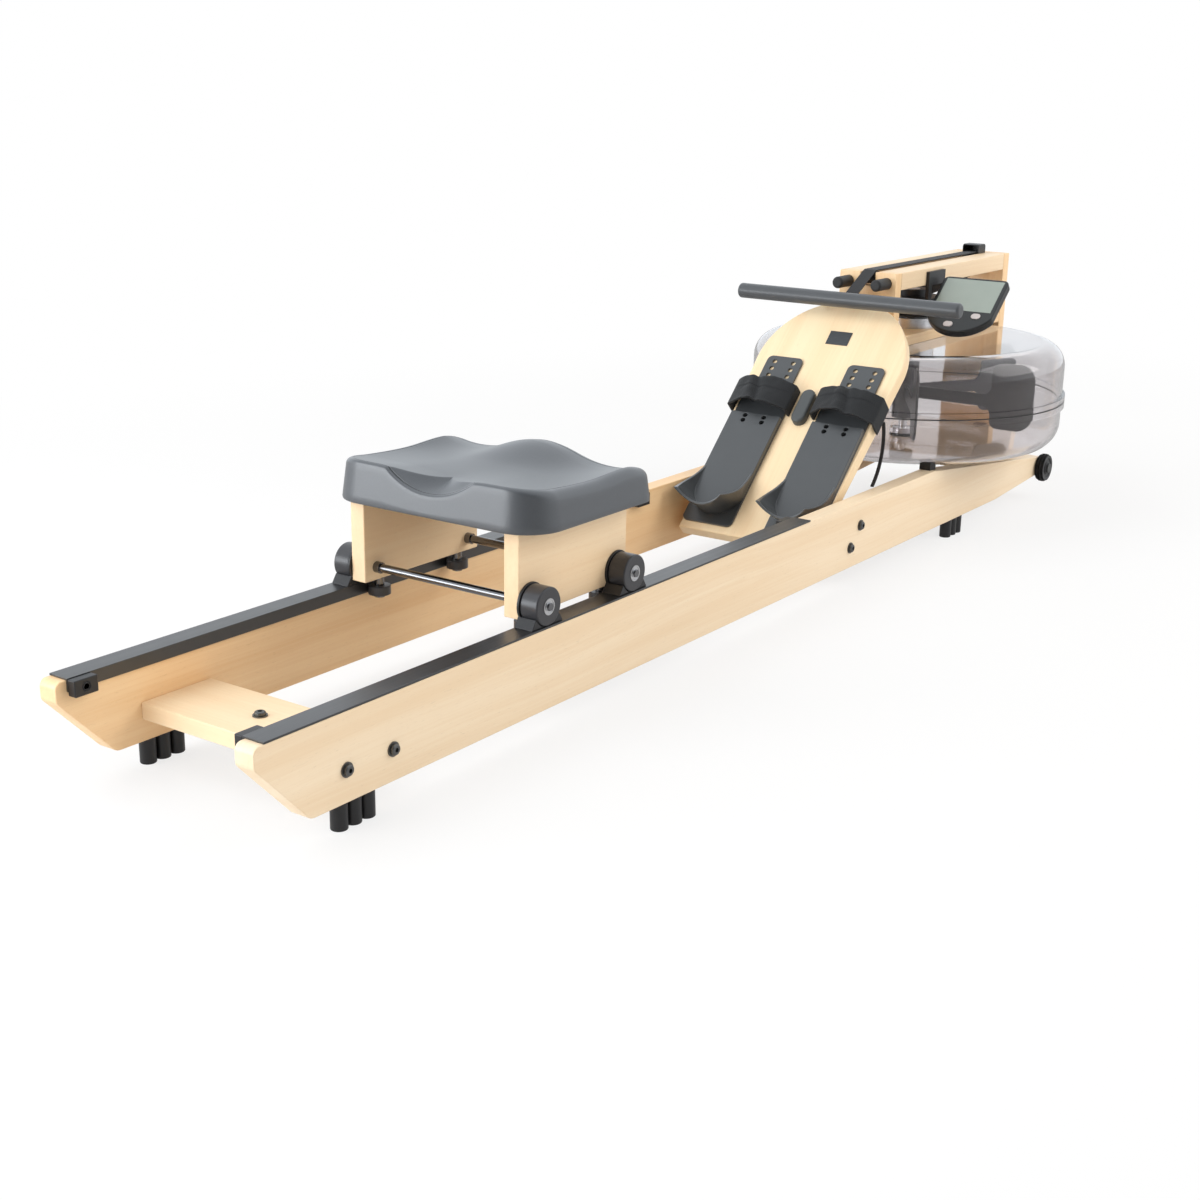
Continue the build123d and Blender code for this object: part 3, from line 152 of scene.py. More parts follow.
room = bpy.data.worlds.new("white room")
bpy.context.scene.world = room
room.use_nodes = True
air = Finish("white room", room.node_tree)
seen = air.node("LightPath", output="Is Camera Ray") | air.node("LightPath", output="Is Transmission Ray")
room_light = 0.66
dim_wall = air.node("VectorMath", {"operation": "DOT_PRODUCT"}, {
    0: air.node("TexCoord", output="Generated"), 1: (-0.80, -0.58, 0.15)}, 1)
mirrored = air.smooth(dim_wall, 0.25, 0.92, 1.25, 0.12)
shown = air.node("Background", None, {"Color": (1.0, 1.0, 1.0), "Strength": 1.0})
mirror = air.node("Background", None, {"Color": (0.90, 0.95, 1.0), "Strength": mirrored})
lit = air.node("Background", None, {"Color": (1.0, 0.985, 0.965), "Strength": room_light})
lit = air.node("MixShader", None, {0: air.node("LightPath", output="Is Glossy Ray"), 1: lit, 2: mirror})
air.node("OutputWorld", None, {"Surface": air.node("MixShader", None, {0: seen, 1: lit, 2: shown})})

bpy.ops.object.select_all(action="DESELECT")
bpy.ops.mesh.primitive_plane_add(size=16.0, location=(0.0, 0.0, 0.0))
floor = bpy.context.object
floor.name = "studio_floor"
paper = Finish("pale paper floor")
paper_place = paper.node("TexCoord", output="Object")
paper_tone = paper.mix(paper.noise(paper_place, 3.0), (0.80, 0.80, 0.80), (0.83, 0.83, 0.83))
seen = (paper.node("LightPath", output="Is Camera Ray") | paper.node("LightPath", output="Is Glossy Ray"))
seen = seen | paper.node("LightPath", output="Is Transmission Ray")
paper_reach = paper.node("VectorMath", {"operation": "LENGTH"}, {
    0: paper.scaled(paper_place, (1 / 1.9, 1 / 1.3, 0.0))}, 1)
paper_white = paper.smooth(paper_reach, 0.6, 1.7, 0.76, 1.0)
matt = paper.node("BsdfDiffuse", None, {"Color": paper_tone})
white = paper.node("Emission", None, {
    "Color": (1.0, 1.0, 1.0), "Strength": 1.0 - 0.42 * paper.node("LightPath", output="Is Glossy Ray")})
paper.node("OutputMaterial", None, {
    "Surface": paper.node("MixShader", None, {0: seen * paper_white, 1: matt, 2: white})})
floor.data.materials.append(paper.material)

studio_lamps = (
    ("seat_end_lamp", (-2.4, 1.6, 3.0), 3.0, 3.0, 94.0, (0.94, 0.97, 1.0)),
    ("low_lamp", (-3.2, 1.75, 0.70), 2.6, 1.2, 62.0, (0.92, 0.96, 1.0)),
    ("right_lamp", (2.0, -2.8, 2.2), 2.6, 2.6, 74.0, (1.0, 0.99, 0.97)),
)
for lamp_name, lamp_place, lamp_width, lamp_height, lamp_power, lamp_colour in studio_lamps:
    lamp = bpy.data.lights.new(lamp_name, "AREA")
    lamp.shape = "RECTANGLE"
    lamp.size = lamp_width
    lamp.size_y = lamp_height
    lamp.energy = lamp_power
    lamp.color = lamp_colour
    lamp = bpy.data.objects.new(lamp_name, lamp)
    lamp.location = lamp_place
    lamp.rotation_euler = (Vector((0.0, 0.0, 0.2)) - Vector(lamp_place)).to_track_quat("-Z", "Y").to_euler()
    lamp.visible_glossy = lamp_name == "low_lamp"
    bpy.context.scene.collection.objects.link(lamp)

camera_place = (-2.14329, -1.34564, 0.78263)
camera_right = (0.57851305, -0.81552129, 0.01573749)
camera_up = (0.23231166, 0.18323028, 0.95522665)
camera_back = (-0.78189126, -0.54895508, 0.29545622)
camera = bpy.data.cameras.new("photograph_view")
camera.lens = 51.25
camera.sensor_width = 36.0
camera = bpy.data.objects.new("photograph_view", camera)
camera.matrix_world = Matrix((camera_right, camera_up, camera_back)).transposed().to_4x4()
camera.location = camera_place
bpy.context.scene.collection.objects.link(camera)
bpy.context.scene.camera = camera
bpy.context.scene.view_settings.view_transform = "Standard"


# Side rails: two long boards of pale beech, planed and lacquered satin, with a chamfered nose at the
# seat end. The arrises are eased by hand, and the rails are bolted to the cross pieces from outside.
def only(*pieces):
    """Leaves just these pieces selected, the last one active."""
    if bpy.context.object and bpy.context.object.mode != "OBJECT":
        bpy.ops.object.mode_set(mode="OBJECT")
    bpy.ops.object.select_all(action="DESELECT")
    for piece in pieces:
        piece.select_set(True)
        bpy.context.view_layer.objects.active = piece


def applied(piece, kind, **settings):
    """Adds a modifier with these settings and applies it."""
    step = piece.modifiers.new(kind.lower(), kind)
    for key, value in settings.items():
        setattr(step, key, value)
    only(piece)
    bpy.ops.object.modifier_apply(modifier=step.name)


def painted(piece, finish):
    """Gives a piece its finish."""
    piece.data.materials.clear()
    piece.data.materials.append(finish.material)


def eased(name, node, ease, finish, body, steps=2):
    """A copy of a machined piece with its sharp edges eased, which stands for the CAD node."""
    piece = bpy.data.objects.new(name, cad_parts[node].data.copy())
    bpy.context.scene.collection.objects.link(piece)
    only(piece)
    bpy.ops.object.mode_set(mode="EDIT")
    bpy.ops.mesh.select_all(action="SELECT")
    bpy.ops.mesh.remove_doubles(threshold=1e-6)
    bpy.ops.mesh.dissolve_limited(angle_limit=radians(0.6))
    bpy.ops.object.mode_set(mode="OBJECT")
    applied(piece, "BEVEL", width=ease, segments=steps, limit_method="ANGLE", angle_limit=radians(40),
            use_clamp_overlap=False)
    only(piece)
    bpy.ops.object.shade_smooth_by_angle(angle=radians(38))
    applied(piece, "WEIGHTED_NORMAL", keep_sharp=True)
    painted(piece, finish)
    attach(piece, body)
    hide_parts(node)
    return piece


def beech(name, turn, pale, warm):
    """Lacquered beech; turn brings the length of the board onto the X axis of the pattern."""
    wood = Finish(name)
    place = wood.node("TexCoord", output="Object")
    board = wood.node("Mapping", None, {"Vector": place, "Rotation": turn})
    sway = wood.noise(wood.scaled(board, (1.4, 6.0, 6.0)), 1.0, 2.0)
    sideways = wood.node("CombineXYZ", None, {0: 0.0, 1: sway, 2: sway})
    bent = wood.node("VectorMath", {"operation": "ADD"}, {
        0: board, 1: wood.scaled(sideways, (0.0, 0.03, 0.03))})
    broad = wood.noise(wood.scaled(bent, (0.9, 26.0, 26.0)), 1.0, 3.0)
    lines = wood.noise(wood.scaled(bent, (3.0, 210.0, 210.0)), 1.0, 4.0, 0.62)
    fleck = wood.noise(wood.scaled(bent, (95.0, 900.0, 900.0)), 1.0, 2.0, 0.6)
    flecks = wood.smooth(fleck, 0.62, 0.74)
    tone = broad * 0.6 + lines * 0.4
    colour = wood.mix(wood.smooth(tone, 0.34, 0.66), pale, warm)
    dark = tuple(0.72 * c for c in warm)
    colour = wood.mix(flecks * 0.35, colour, dark)
    facing = wood.node("NewGeometry", output="Normal")
    length = wood.node("Mapping", {"vector_type": "NORMAL"}, {"Vector": facing, "Rotation": turn})
    along = abs(wood.node("SeparateXYZ", None, {"Vector": length}, 0))
    cut = wood.smooth(along, 0.75, 0.95)
    rings = wood.noise(wood.scaled(board, (40.0, 260.0, 90.0)), 1.0, 3.0)
    end_grain = wood.mix(rings, tuple(0.9 * c for c in warm), tuple(0.96 * c for c in pale))
    colour = wood.mix(cut * 0.5, colour, end_grain)
    wood.surface({
        "Base Color": colour,
        "Roughness": 0.40 + 0.14 * lines + 0.08 * flecks,
        "Normal": wood.bump(lines * 0.6 - flecks * 0.4, 0.12, 0.0006),
        "Coat Weight": 0.12,
        "Coat Roughness": 0.28,
    })
    return wood


beech_pale = (0.90, 0.73, 0.52)
beech_warm = (0.84, 0.64, 0.42)
amber_pale = (0.91, 0.65, 0.38)
amber_warm = (0.84, 0.55, 0.29)
rail_beech = beech("beech along the machine", (0.0, 0.0, 0.0), beech_pale, beech_warm)
amber_beech = beech("amber beech along the machine", (0.0, 0.0, 0.0), amber_pale, amber_warm)
board_ease = 0.0016
eased("right_rail_board", "right_rail", board_ease, rail_beech, "frame")
# The left rail takes the warmer amber copy of the beech. This is partly a warmer board and partly painted
# warm bounce light in the shade of its inner face.
eased("left_rail_board", "left_rail", board_ease, amber_beech, "frame")


# Seat tracks: black L-shaped extrusions screwed on top of the rails, with a moulded stop block at
# each end. Their satin surface carries the fine draw lines of the die.
def moulded(name, dark, light, roughness, grain, depth, coat=0.0):
    """Moulded plastic or rubber with a fine spark-eroded grain."""
    plastic = Finish(name)
    place = plastic.node("TexCoord", output="Object")
    cloud = plastic.noise(place, 28.0, 3.0)
    pits = plastic.noise(place, grain, 2.0, 0.6)
    plastic.surface({
        "Base Color": plastic.mix(cloud * 0.6 + pits * 0.4, dark, light),
        "Roughness": roughness - 0.06 + 0.12 * cloud,
        "Normal": plastic.bump(pits, 0.25, depth),
        "Coat Weight": coat,
        "Coat Roughness": 0.3,
    })
    return plastic


def dressed(finish, *nodes):
    """Gives CAD nodes that stay in view their finish."""
    for node in nodes:
        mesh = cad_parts[node].data
        mesh.materials.clear()
        mesh.materials.append(finish.material)


track_black = Finish("drawn black track")
track_place = track_black.node("TexCoord", output="Object")
track_lines = track_black.noise(track_black.scaled(track_place, (2.0, 900.0, 900.0)), 1.0, 2.0)
track_dust = track_black.noise(track_place, 45.0, 4.0)
track_black.surface({
    "Base Color": track_black.mix(track_dust, (0.012, 0.012, 0.013), (0.024, 0.024, 0.026)),
    "Roughness": 0.22 + 0.14 * track_lines + 0.10 * track_dust,
    "Normal": track_black.bump(track_lines, 0.10, 0.0003),
    "Specular IOR Level": 0.9,
})
eased("seat_track_extrusions", "seat_tracks", 0.0005, track_black, "frame")
black_plastic = moulded("black moulded plastic", (0.010, 0.010, 0.011), (0.022, 0.022, 0.024), 0.42,
                        1400.0, 0.0004)
eased("track_stop_blocks", "track_stops", 0.0012, black_plastic, "frame")


# Rear spacer, batten and cross boards: short beech planks across the machine, end-bolted through the
# rails. The grain runs from rail to rail.
cross_pale = (0.93, 0.73, 0.49)
cross_warm = (0.88, 0.66, 0.42)
cross_beech = beech("beech across the machine", (0.0, 0.0, radians(-90)), cross_pale, cross_warm)
eased("spacer_plank", "rear_spacer", board_ease, cross_beech, "frame")
eased("batten_plank", "footboard_batten", board_ease, cross_beech, "frame")
eased("cross_planks", "cross_boards", board_ease, cross_beech, "frame")


# Bolts, washers and feet: grey zinc button heads with hexagon sockets in plain washers, and turned
# rubber feet in rows of three under the rails.
def zinc(name, dark, light, smoothest, swing):
    """Zinc-plated steel, clouded by its plating."""
    steel = Finish(name)
    place = steel.node("TexCoord", output="Object")
    cloud = steel.noise(place, 160.0, 3.0)
    steel.surface({
        "Base Color": steel.mix(cloud, dark, light),
        "Metallic": 1.0,
        "Roughness": smoothest + swing * cloud,
        "Normal": steel.bump(steel.noise(place, 1900.0), 0.15, 0.0002),
    })
    return steel


black_zinc = zinc("black zinc steel", (0.030, 0.029, 0.028), (0.075, 0.070, 0.066), 0.26, 0.20)
bolt_steel = zinc("grey bolt steel", (0.115, 0.115, 0.113), (0.185, 0.183, 0.180), 0.36, 0.18)
rubber = moulded("black rubber", (0.011, 0.011, 0.012), (0.026, 0.026, 0.027), 0.58, 900.0, 0.0004)
dressed(bolt_steel, "frame_bolts")
foot_rubber = moulded("glossy foot rubber", (0.008, 0.008, 0.009), (0.018, 0.018, 0.020), 0.34,
                      900.0, 0.0003)
dressed(foot_rubber, "rail_feet")
dressed(rubber, "tank_pads")


# Transport wheels: black rubber tyres on a moulded hub, at the tank end of the rails. Each turns on
# its own stub axle.
def faced_disc(name, centre, radius, width, steps, segments=64):
    """A disc across the machine, with rings pressed into both faces: (ring width, depth) from the rim."""
    bpy.ops.object.select_all(action="DESELECT")
    bpy.ops.mesh.primitive_cylinder_add(vertices=segments, radius=radius, depth=width, location=centre,
                                        rotation=(radians(90), 0.0, 0.0))
    disc = bpy.context.object
    disc.name = name
    bpy.ops.object.transform_apply(location=True, rotation=True, scale=True)
    for face in disc.data.polygons:
        face.select = abs(face.normal.y) > 0.9
    bpy.ops.object.mode_set(mode="EDIT")
    for ring, depth in steps:
        bpy.ops.mesh.inset(thickness=ring, depth=depth, use_individual=True)
    bpy.ops.object.mode_set(mode="OBJECT")
    return disc


wheel_rings = ((0.0055, 0.0), (0.0006, -0.0020), (0.0060, 0.0), (0.0006, 0.0026), (0.0040, 0.0),
               (0.0004, -0.0012))
tyre_rubber = moulded("tyre rubber", (0.036, 0.036, 0.038), (0.062, 0.062, 0.065), 0.55, 900.0, 0.0004)
for side in ("right", "left"):
    low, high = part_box(f"{side}_wheel")
    wheel = faced_disc(f"{side}_wheel_tyre", (low + high) / 2, (high.z - low.z) / 2, high.y - low.y,
                       wheel_rings)
    applied(wheel, "BEVEL", width=0.0011, segments=3, limit_method="ANGLE", angle_limit=radians(40))
    only(wheel)
    bpy.ops.object.shade_smooth_by_angle(angle=radians(38))
    painted(wheel, tyre_rubber)
    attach(wheel, f"{side}_wheel")
    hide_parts(f"{side}_wheel")


# Water tank: two clear polycarbonate bowls joined at a flange with a seal, grey paddles on a steel
# shaft inside, and a filler plug in the top. The plastic is faintly smoky.
clear = Finish("clear smoky polycarbonate")
clear_place = clear.node("TexCoord", output="Object")
clear_haze = clear.noise(clear_place, 9.0, 3.0)
clear.surface({
    "Base Color": clear.mix(clear_haze, (0.87, 0.84, 0.85), (0.92, 0.90, 0.905)),
    "Roughness": 0.02 + 0.05 * clear_haze,
    "IOR": 1.45,
    "Transmission Weight": 1.0,
})
dressed(clear, "tank_lower_shell", "tank_upper_shell")
seal_rubber = moulded("grey seal rubber", (0.05, 0.05, 0.052), (0.09, 0.09, 0.092), 0.5, 900.0, 0.0003)
dressed(seal_rubber, "tank_seal")
paddle_grey = moulded("grey paddle plastic", (0.085, 0.084, 0.087), (0.125, 0.123, 0.127), 0.40,
                      1100.0, 0.0002)
dressed(paddle_grey, "paddle_rotor")
dressed(black_plastic, "fill_plug")
bright_steel = Finish("bright turned steel")
bright_place = bright_steel.node("TexCoord", output="Object")
bright_lines = bright_steel.noise(bright_steel.scaled(bright_place, (500.0, 2600.0, 500.0)), 1.0, 2.0)
bright_steel.surface({
    "Base Color": bright_steel.mix(bright_lines, (0.52, 0.52, 0.53), (0.70, 0.70, 0.71)),
    "Metallic": 1.0,
    "Roughness": 0.22 + 0.16 * bright_lines,
    "Normal": bright_steel.bump(bright_lines, 0.08, 0.0002),
})
dressed(bright_steel, "rotor_shaft", "shaft_bearings", "clutch_bearing", "recoil_spring")


# Deck, posts, beam and knee block: the beech frame over the tank. The near post is notched for the
# strap's roller, and the far post stands on the floor side of the tank and carries the beam's end.
upright_beech = beech("beech upright", (0.0, radians(90), 0.0), amber_pale, amber_warm)
eased("deck_board", "tank_deck", board_ease, amber_beech, "frame")
eased("near_post_board", "beam_near_post", board_ease, upright_beech, "frame")
eased("far_post_board", "far_post", board_ease, upright_beech, "frame")
beam_beech = beech("beech of the beam", (0.0, 0.0, 0.0), (0.87, 0.68, 0.46), (0.81, 0.60, 0.38))
eased("beam_cheek_boards", "beam_cheeks", board_ease, beam_beech, "frame")
eased("knee_block_wood", "knee_block", board_ease, amber_beech, "frame")
dressed(rubber, "handle_pegs")
eased("pulley_cover_moulding", "pulley_cover", 0.0012, black_plastic, "frame")
dressed(black_plastic, "strap_drum", "strap_roller", "strap_pulley")


# Drive strap: flat black polyester webbing. It is wound on the drum, twists a quarter turn up to the
# far pulley, lies along the top of the beam and goes over the roller down to the handle.
def skin(name, along, across, place):
    """A grid laid out by place(u, v), with u and v from 0 to 1; its UV map keeps u and v."""
    bpy.ops.object.select_all(action="DESELECT")
    bpy.ops.mesh.primitive_grid_add(x_subdivisions=along, y_subdivisions=across, size=1.0, calc_uvs=True)
    piece = bpy.context.object
    piece.name = name
    for point in piece.data.vertices:
        point.co = place(point.co.x + 0.5, point.co.y + 0.5)
    return piece


def webbing(name, length, width, dark, light):
    """Woven webbing: a herringbone of fine yarns along a UV map of this length and width in metres."""
    weave = Finish(name)
    place = weave.node("UVMap", {"uv_map": "UVMap"})
    yarn = 0.0011
    cell = weave.scaled(place, (length / yarn, width / yarn, 0.0))
    run = weave.node("SeparateXYZ", None, {"Vector": cell}, 0)
    over = weave.node("SeparateXYZ", None, {"Vector": cell}, 1)
    zigzag = weave.node("Math", {"operation": "PINGPONG"}, {0: over, 1: 5.0})
    rib = weave.node("Math", {"operation": "SINE"}, {0: (run + zigzag) * (pi / 2)})
    yarns = weave.node("Math", {"operation": "SINE"}, {0: over * pi})
    cloth = rib * 0.30 + abs(yarns) * 0.35 + 0.35
    edge = weave.node("SeparateXYZ", None, {"Vector": place}, 1)
    border = weave.smooth(abs(edge - 0.5), 0.43, 0.46)
    fuzz = weave.noise(place, 60.0, 3.0)
    weave.surface({
        "Base Color": weave.mix(cloth * 0.7 + fuzz * 0.3, dark, light),
        "Roughness": 0.72 + 0.16 * fuzz - 0.08 * border,
        "Normal": weave.bump(cloth + border * 0.4, 0.35, 0.0006),
        "Sheen Weight": 0.06,
    })
    return weave


strap_width = 0.023
strap_thick = 0.0018
strap_dark = (0.010, 0.010, 0.011)
strap_light = (0.034, 0.034, 0.037)
drum_x = 0.74395
drum_middle = 0.3865
winding_turns = 5
winding_pitch = 0.0024
winding_first = 0.0344
turn_steps = 40


def winding_place(u, v):
    half = min(int(u * 2 * winding_turns), 2 * winding_turns - 1)
    part = u * 2 * winding_turns - half
    upper = half % 2 == 0
    angle = radians((90 if upper else -90) - 180 * part)
    radius = winding_first + half * winding_pitch / 2
    shift = -winding_pitch / 4 if upper else winding_pitch / 4
    return Vector((drum_x + radius * cos(angle), shift + radius * sin(angle),
                   drum_middle + (v - 0.5) * strap_width))


winding_length = 2 * pi * 0.040 * winding_turns
winding = skin("strap_winding_turns", 2 * winding_turns * turn_steps // 2, 4, winding_place)
applied(winding, "SOLIDIFY", thickness=strap_thick, offset=0.0)
only(winding)
bpy.ops.object.shade_smooth_by_angle(angle=radians(38))
painted(winding, webbing("wound webbing", winding_length, strap_width, strap_dark, strap_light))
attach(winding, "drum")
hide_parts("strap_winding")

roller_x, roller_z, roller_reach = 0.57395, 0.4502, 0.0122
pulley_x, pulley_z, pulley_reach = 1.01005, 0.4432, 0.0192
handle_x, handle_z = 0.48795, 0.418
lead_turn = degrees(atan2(handle_z - roller_z, handle_x - roller_x)) % 360
lead_turn -= degrees(acos(roller_reach / hypot(handle_x - roller_x, handle_z - roller_z)))
run_side = 0.0479
run_level = 0.0655
flat = Vector((0.0, 1.0, 0.0))


def round_pulley(x, z, reach, turn):
    """The middle of the strap where it lies round a roller or a pulley."""
    return Vector((x + reach * cos(radians(turn)), 0.0, z + reach * sin(radians(turn))))


stations = []
for i in range(9):
    turn = lead_turn + (90 - lead_turn) * i / 8
    stations.append((round_pulley(roller_x, roller_z, roller_reach, turn), flat))
for i in range(1, 40):
    share = i / 40
    stations.append((Vector((roller_x + (pulley_x - roller_x) * share, 0.0, pulley_z + pulley_reach)), flat))
for i in range(25):
    stations.append((round_pulley(pulley_x, pulley_z, pulley_reach, 90 - 180 * i / 24), flat))
run_start = Vector((pulley_x, 0.0, pulley_z - pulley_reach))
run_end = Vector((drum_x, run_side, drum_middle))
twist_end = run_end + Vector((run_level, 0.0, 0.0))
for i in range(1, 33):
    share = i / 32
    turn = share * pi / 2
    stations.append((run_start.lerp(twist_end, share), Vector((0.0, cos(turn), sin(turn)))))
upright = Vector((0.0, 0.0, 1.0))
for i in range(1, 9):
    stations.append((twist_end.lerp(run_end, i / 8), upright))


def run_place(u, v):
    centre, across = stations[round(u * (len(stations) - 1))]
    return centre + across * ((v - 0.5) * strap_width)


run_length = sum((b[0] - a[0]).length for a, b in zip(stations, stations[1:]))
strap_run = skin("strap_run_webbing", len(stations) - 1, 4, run_place)
applied(strap_run, "SOLIDIFY", thickness=strap_thick, offset=0.0)
only(strap_run)
bpy.ops.object.shade_smooth_by_angle(angle=radians(38))
painted(strap_run, webbing("running webbing", run_length, strap_width, strap_dark, strap_light))
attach(strap_run, "frame")
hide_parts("strap_run")

lead_start = stations[0][0]
lead_end = Vector((handle_x, 0.0, handle_z))
lead_end = lead_end + (lead_start - lead_end).normalized() * 0.009


def lead_place(u, v):
    return lead_start.lerp(lead_end, u) + flat * ((v - 0.5) * strap_width)


strap_lead = skin("strap_lead_webbing", 1, 4, lead_place)
applied(strap_lead, "SOLIDIFY", thickness=strap_thick, offset=0.0)
lead_length = (lead_end - lead_start).length
painted(strap_lead, webbing("leading webbing", lead_length, strap_width, strap_dark, strap_light))
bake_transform(strap_lead)
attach(strap_lead, "frame")
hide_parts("strap_lead")


# Handle: a steel core in a dark grey foam tube with closed ends. It rests under the two rubber pegs,
# and the strap is let into its back.
foam_grip = moulded("dark foam grip", (0.040, 0.043, 0.047), (0.066, 0.070, 0.076), 0.50, 650.0, 0.0008, 0.5)
grip_half = 0.209
grip_radius = 0.013
grip_round = 0.0045
dressed(black_zinc, "handle_core")


def grip_place(u, v):
    profile = [(-grip_half, 0.0), (-grip_half, 0.006), (-grip_half, grip_radius - grip_round)]
    for turn in (20, 45, 70, 90):
        profile.append((-grip_half + grip_round * (1 - cos(radians(turn))),
                        grip_radius - grip_round * (1 - sin(radians(turn)))))
    middle = [(-grip_half + 0.012 + (2 * grip_half - 0.024) * i / 40, grip_radius) for i in range(41)]
    profile = profile + middle + [(-y, r) for y, r in reversed(profile)]
    y, radius = profile[round(u * (len(profile) - 1))]
    angle = 2 * pi * v
    swell = 1.0 - 0.012 * (0.5 + 0.5 * noise.noise(Vector((y * 30.0, cos(angle), sin(angle)))))
    return Vector((handle_x + radius * swell * cos(angle), y, handle_z + radius * swell * sin(angle)))


grip = skin("handle_grip_foam", 54, 40, grip_place)
only(grip)
bpy.ops.object.mode_set(mode="EDIT")
bpy.ops.mesh.select_all(action="SELECT")
bpy.ops.mesh.remove_doubles(threshold=1e-6)
bpy.ops.mesh.normals_make_consistent(inside=False)
bpy.ops.object.mode_set(mode="OBJECT")
bpy.ops.object.shade_smooth_by_angle(angle=radians(50))
painted(grip, foam_grip)
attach(grip, "handle")
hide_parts("handle_grip")


# Footboard: one beech board with an arched top, set on the slope between the rails. A small bare
# metal plate is let in near its top.
slope = radians(44.4)
slope_beech = beech("beech up the slope", (0.0, slope, 0.0), (0.91, 0.73, 0.48), (0.88, 0.66, 0.41))
eased("footboard_panel", "footboard", 0.0012, slope_beech, "frame")
plate_metal = Finish("brushed dark plate")
plate_place = plate_metal.node("TexCoord", output="Object")
plate_lines = plate_metal.noise(plate_metal.scaled(plate_place, (2600.0, 90.0, 2600.0)), 1.0, 2.0)
plate_metal.surface({
    "Base Color": plate_metal.mix(plate_lines, (0.05, 0.055, 0.06), (0.12, 0.125, 0.13)),
    "Metallic": 0.8,
    "Roughness": 0.32 + 0.2 * plate_lines,
    "Normal": plate_metal.bump(plate_lines, 0.1, 0.0002),
})
eased("bare_plate", "blank_plate", 0.0003, plate_metal, "frame")


# Foot plates, heel rests and strap keeper: grey-black moulded plates screwed to the board, with heel
# trays that slide in them, and a rubber capsule between the feet that the straps tuck under.
foot_plastic = moulded("grey-black foot plastic", (0.034, 0.037, 0.040), (0.052, 0.056, 0.059), 0.34,
                       1200.0, 0.0002, 0.6)
eased("foot_plate_mouldings", "foot_plates", 0.0008, foot_plastic, "frame")
for side in ("left", "right"):
    rest = f"{side}_heel_rest"
    eased(f"{side}_heel_tray", rest, 0.0010, foot_plastic, rest)
keeper_rubber = moulded("keeper rubber", (0.052, 0.057, 0.059), (0.078, 0.085, 0.087), 0.50,
                        900.0, 0.0003)
dressed(keeper_rubber, "strap_keeper")


# Foot straps: padded black bands over the feet, each sewn down beside the keeper and wrapped round
# the board's outer edge, with a doubled hem along the upper edge and a thin loose tail.
board_place = Vector((0.43075, 0.0, 0.318))
up_slope = Vector((cos(slope), 0.0, sin(slope)))
off_board = Vector((-sin(slope), 0.0, cos(slope)))
band_top, band_low = -0.066, -0.118
band_inner, band_outer = 0.024, 0.13544
band_middle = 0.077
band_crown = 0.036
band_thick = 0.004


def arc_through(a, b, c, count):
    """Points on the circle through three points of a plane."""
    (ax, ay), (bx, by), (cx, cy) = a, b, c
    d = 2 * (ax * (by - cy) + bx * (cy - ay) + cx * (ay - by))
    sa, sb, sc = ax * ax + ay * ay, bx * bx + by * by, cx * cx + cy * cy
    ux = (sa * (by - cy) + sb * (cy - ay) + sc * (ay - by)) / d
    uy = (sa * (cx - bx) + sb * (ax - cx) + sc * (bx - ax)) / d
    first, last = atan2(ay - uy, ax - ux), atan2(cy - uy, cx - ux)
    middle = atan2(by - uy, bx - ux)
    if not min(first, last) < middle < max(first, last):
        last += 2 * pi if last < first else -2 * pi
    radius = hypot(ax - ux, ay - uy)
    return [(ux + radius * cos(first + (last - first) * i / (count - 1)),
             uy + radius * sin(first + (last - first) * i / (count - 1))) for i in range(count)]


band_path = [(band_inner, 0.0006 + 0.018 * i / 6) for i in range(6)]
band_path += arc_through((band_inner, 0.0184), (band_middle, band_crown), (band_outer, 0.014), 81)
band_path += [(band_outer, 0.014 - 0.030 * i / 8) for i in range(1, 9)]


def band_point(u, v, side):
    """A point of the band: slack cloth, creased where it folds, with its lower edge standing open."""
    y, n = band_path[round(u * (len(band_path) - 1))]
    along = band_low + (band_top - band_low) * v
    arch = max(0.0, min(1.0, (n - 0.012) / 0.018))
    loose = arch * max(0.0, 1.0 - ((y - band_middle) / 0.046) ** 2)
    crease = noise.noise(Vector((y * 34.0, along * 40.0, 3.0 * side)))
    ripple = noise.noise(Vector((y * 95.0, along * 70.0, 5.0 * side)))
    fold = y - (0.084 + side * 0.32 * (along + 0.09))
    pinch = exp(-(fold / 0.0075) ** 2) - 0.55 * exp(-((fold - 0.014 * side) / 0.009) ** 2)
    n += loose * (0.0022 * crease + 0.0008 * ripple - 0.0050 * pinch)
    n += loose * (0.0050 * (1.0 - v) ** 2 - 0.0050 * v * v)
    n += arch * 0.0016 * max(0.0, min(1.0, (v - 0.60) / 0.04))
    along += arch * (0.0030 * crease + 0.0012 * ripple)
    return board_place + up_slope * along + off_board * n + Vector((0.0, side * y, 0.0))


band_length = sum(hypot(b[0] - a[0], b[1] - a[1]) for a, b in zip(band_path, band_path[1:]))
strap_parts = []
for side in (-1, 1):
    band = skin("strap_band", len(band_path) - 1, 40, lambda u, v: band_point(u, v, side))
    only(band)
    bpy.ops.object.mode_set(mode="EDIT")
    bpy.ops.mesh.normals_make_consistent(inside=False)
    bpy.ops.object.mode_set(mode="OBJECT")
    applied(band, "SOLIDIFY", thickness=band_thick - 0.0004, offset=0.0)
    applied(band, "BEVEL", width=0.0012, segments=2, limit_method="ANGLE", angle_limit=radians(50))
    strap_parts.append(band)
only(*strap_parts)
bpy.ops.object.join()
foot_bands = bpy.context.object
foot_bands.name = "foot_strap_bands"
bpy.ops.object.shade_smooth_by_angle(angle=radians(50))
band_cloth = webbing("padded strap cloth", band_length, band_top - band_low, (0.006, 0.0065, 0.007),
                     (0.019, 0.020, 0.022))
painted(foot_bands, band_cloth)
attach(foot_bands, "frame")
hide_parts("foot_straps")

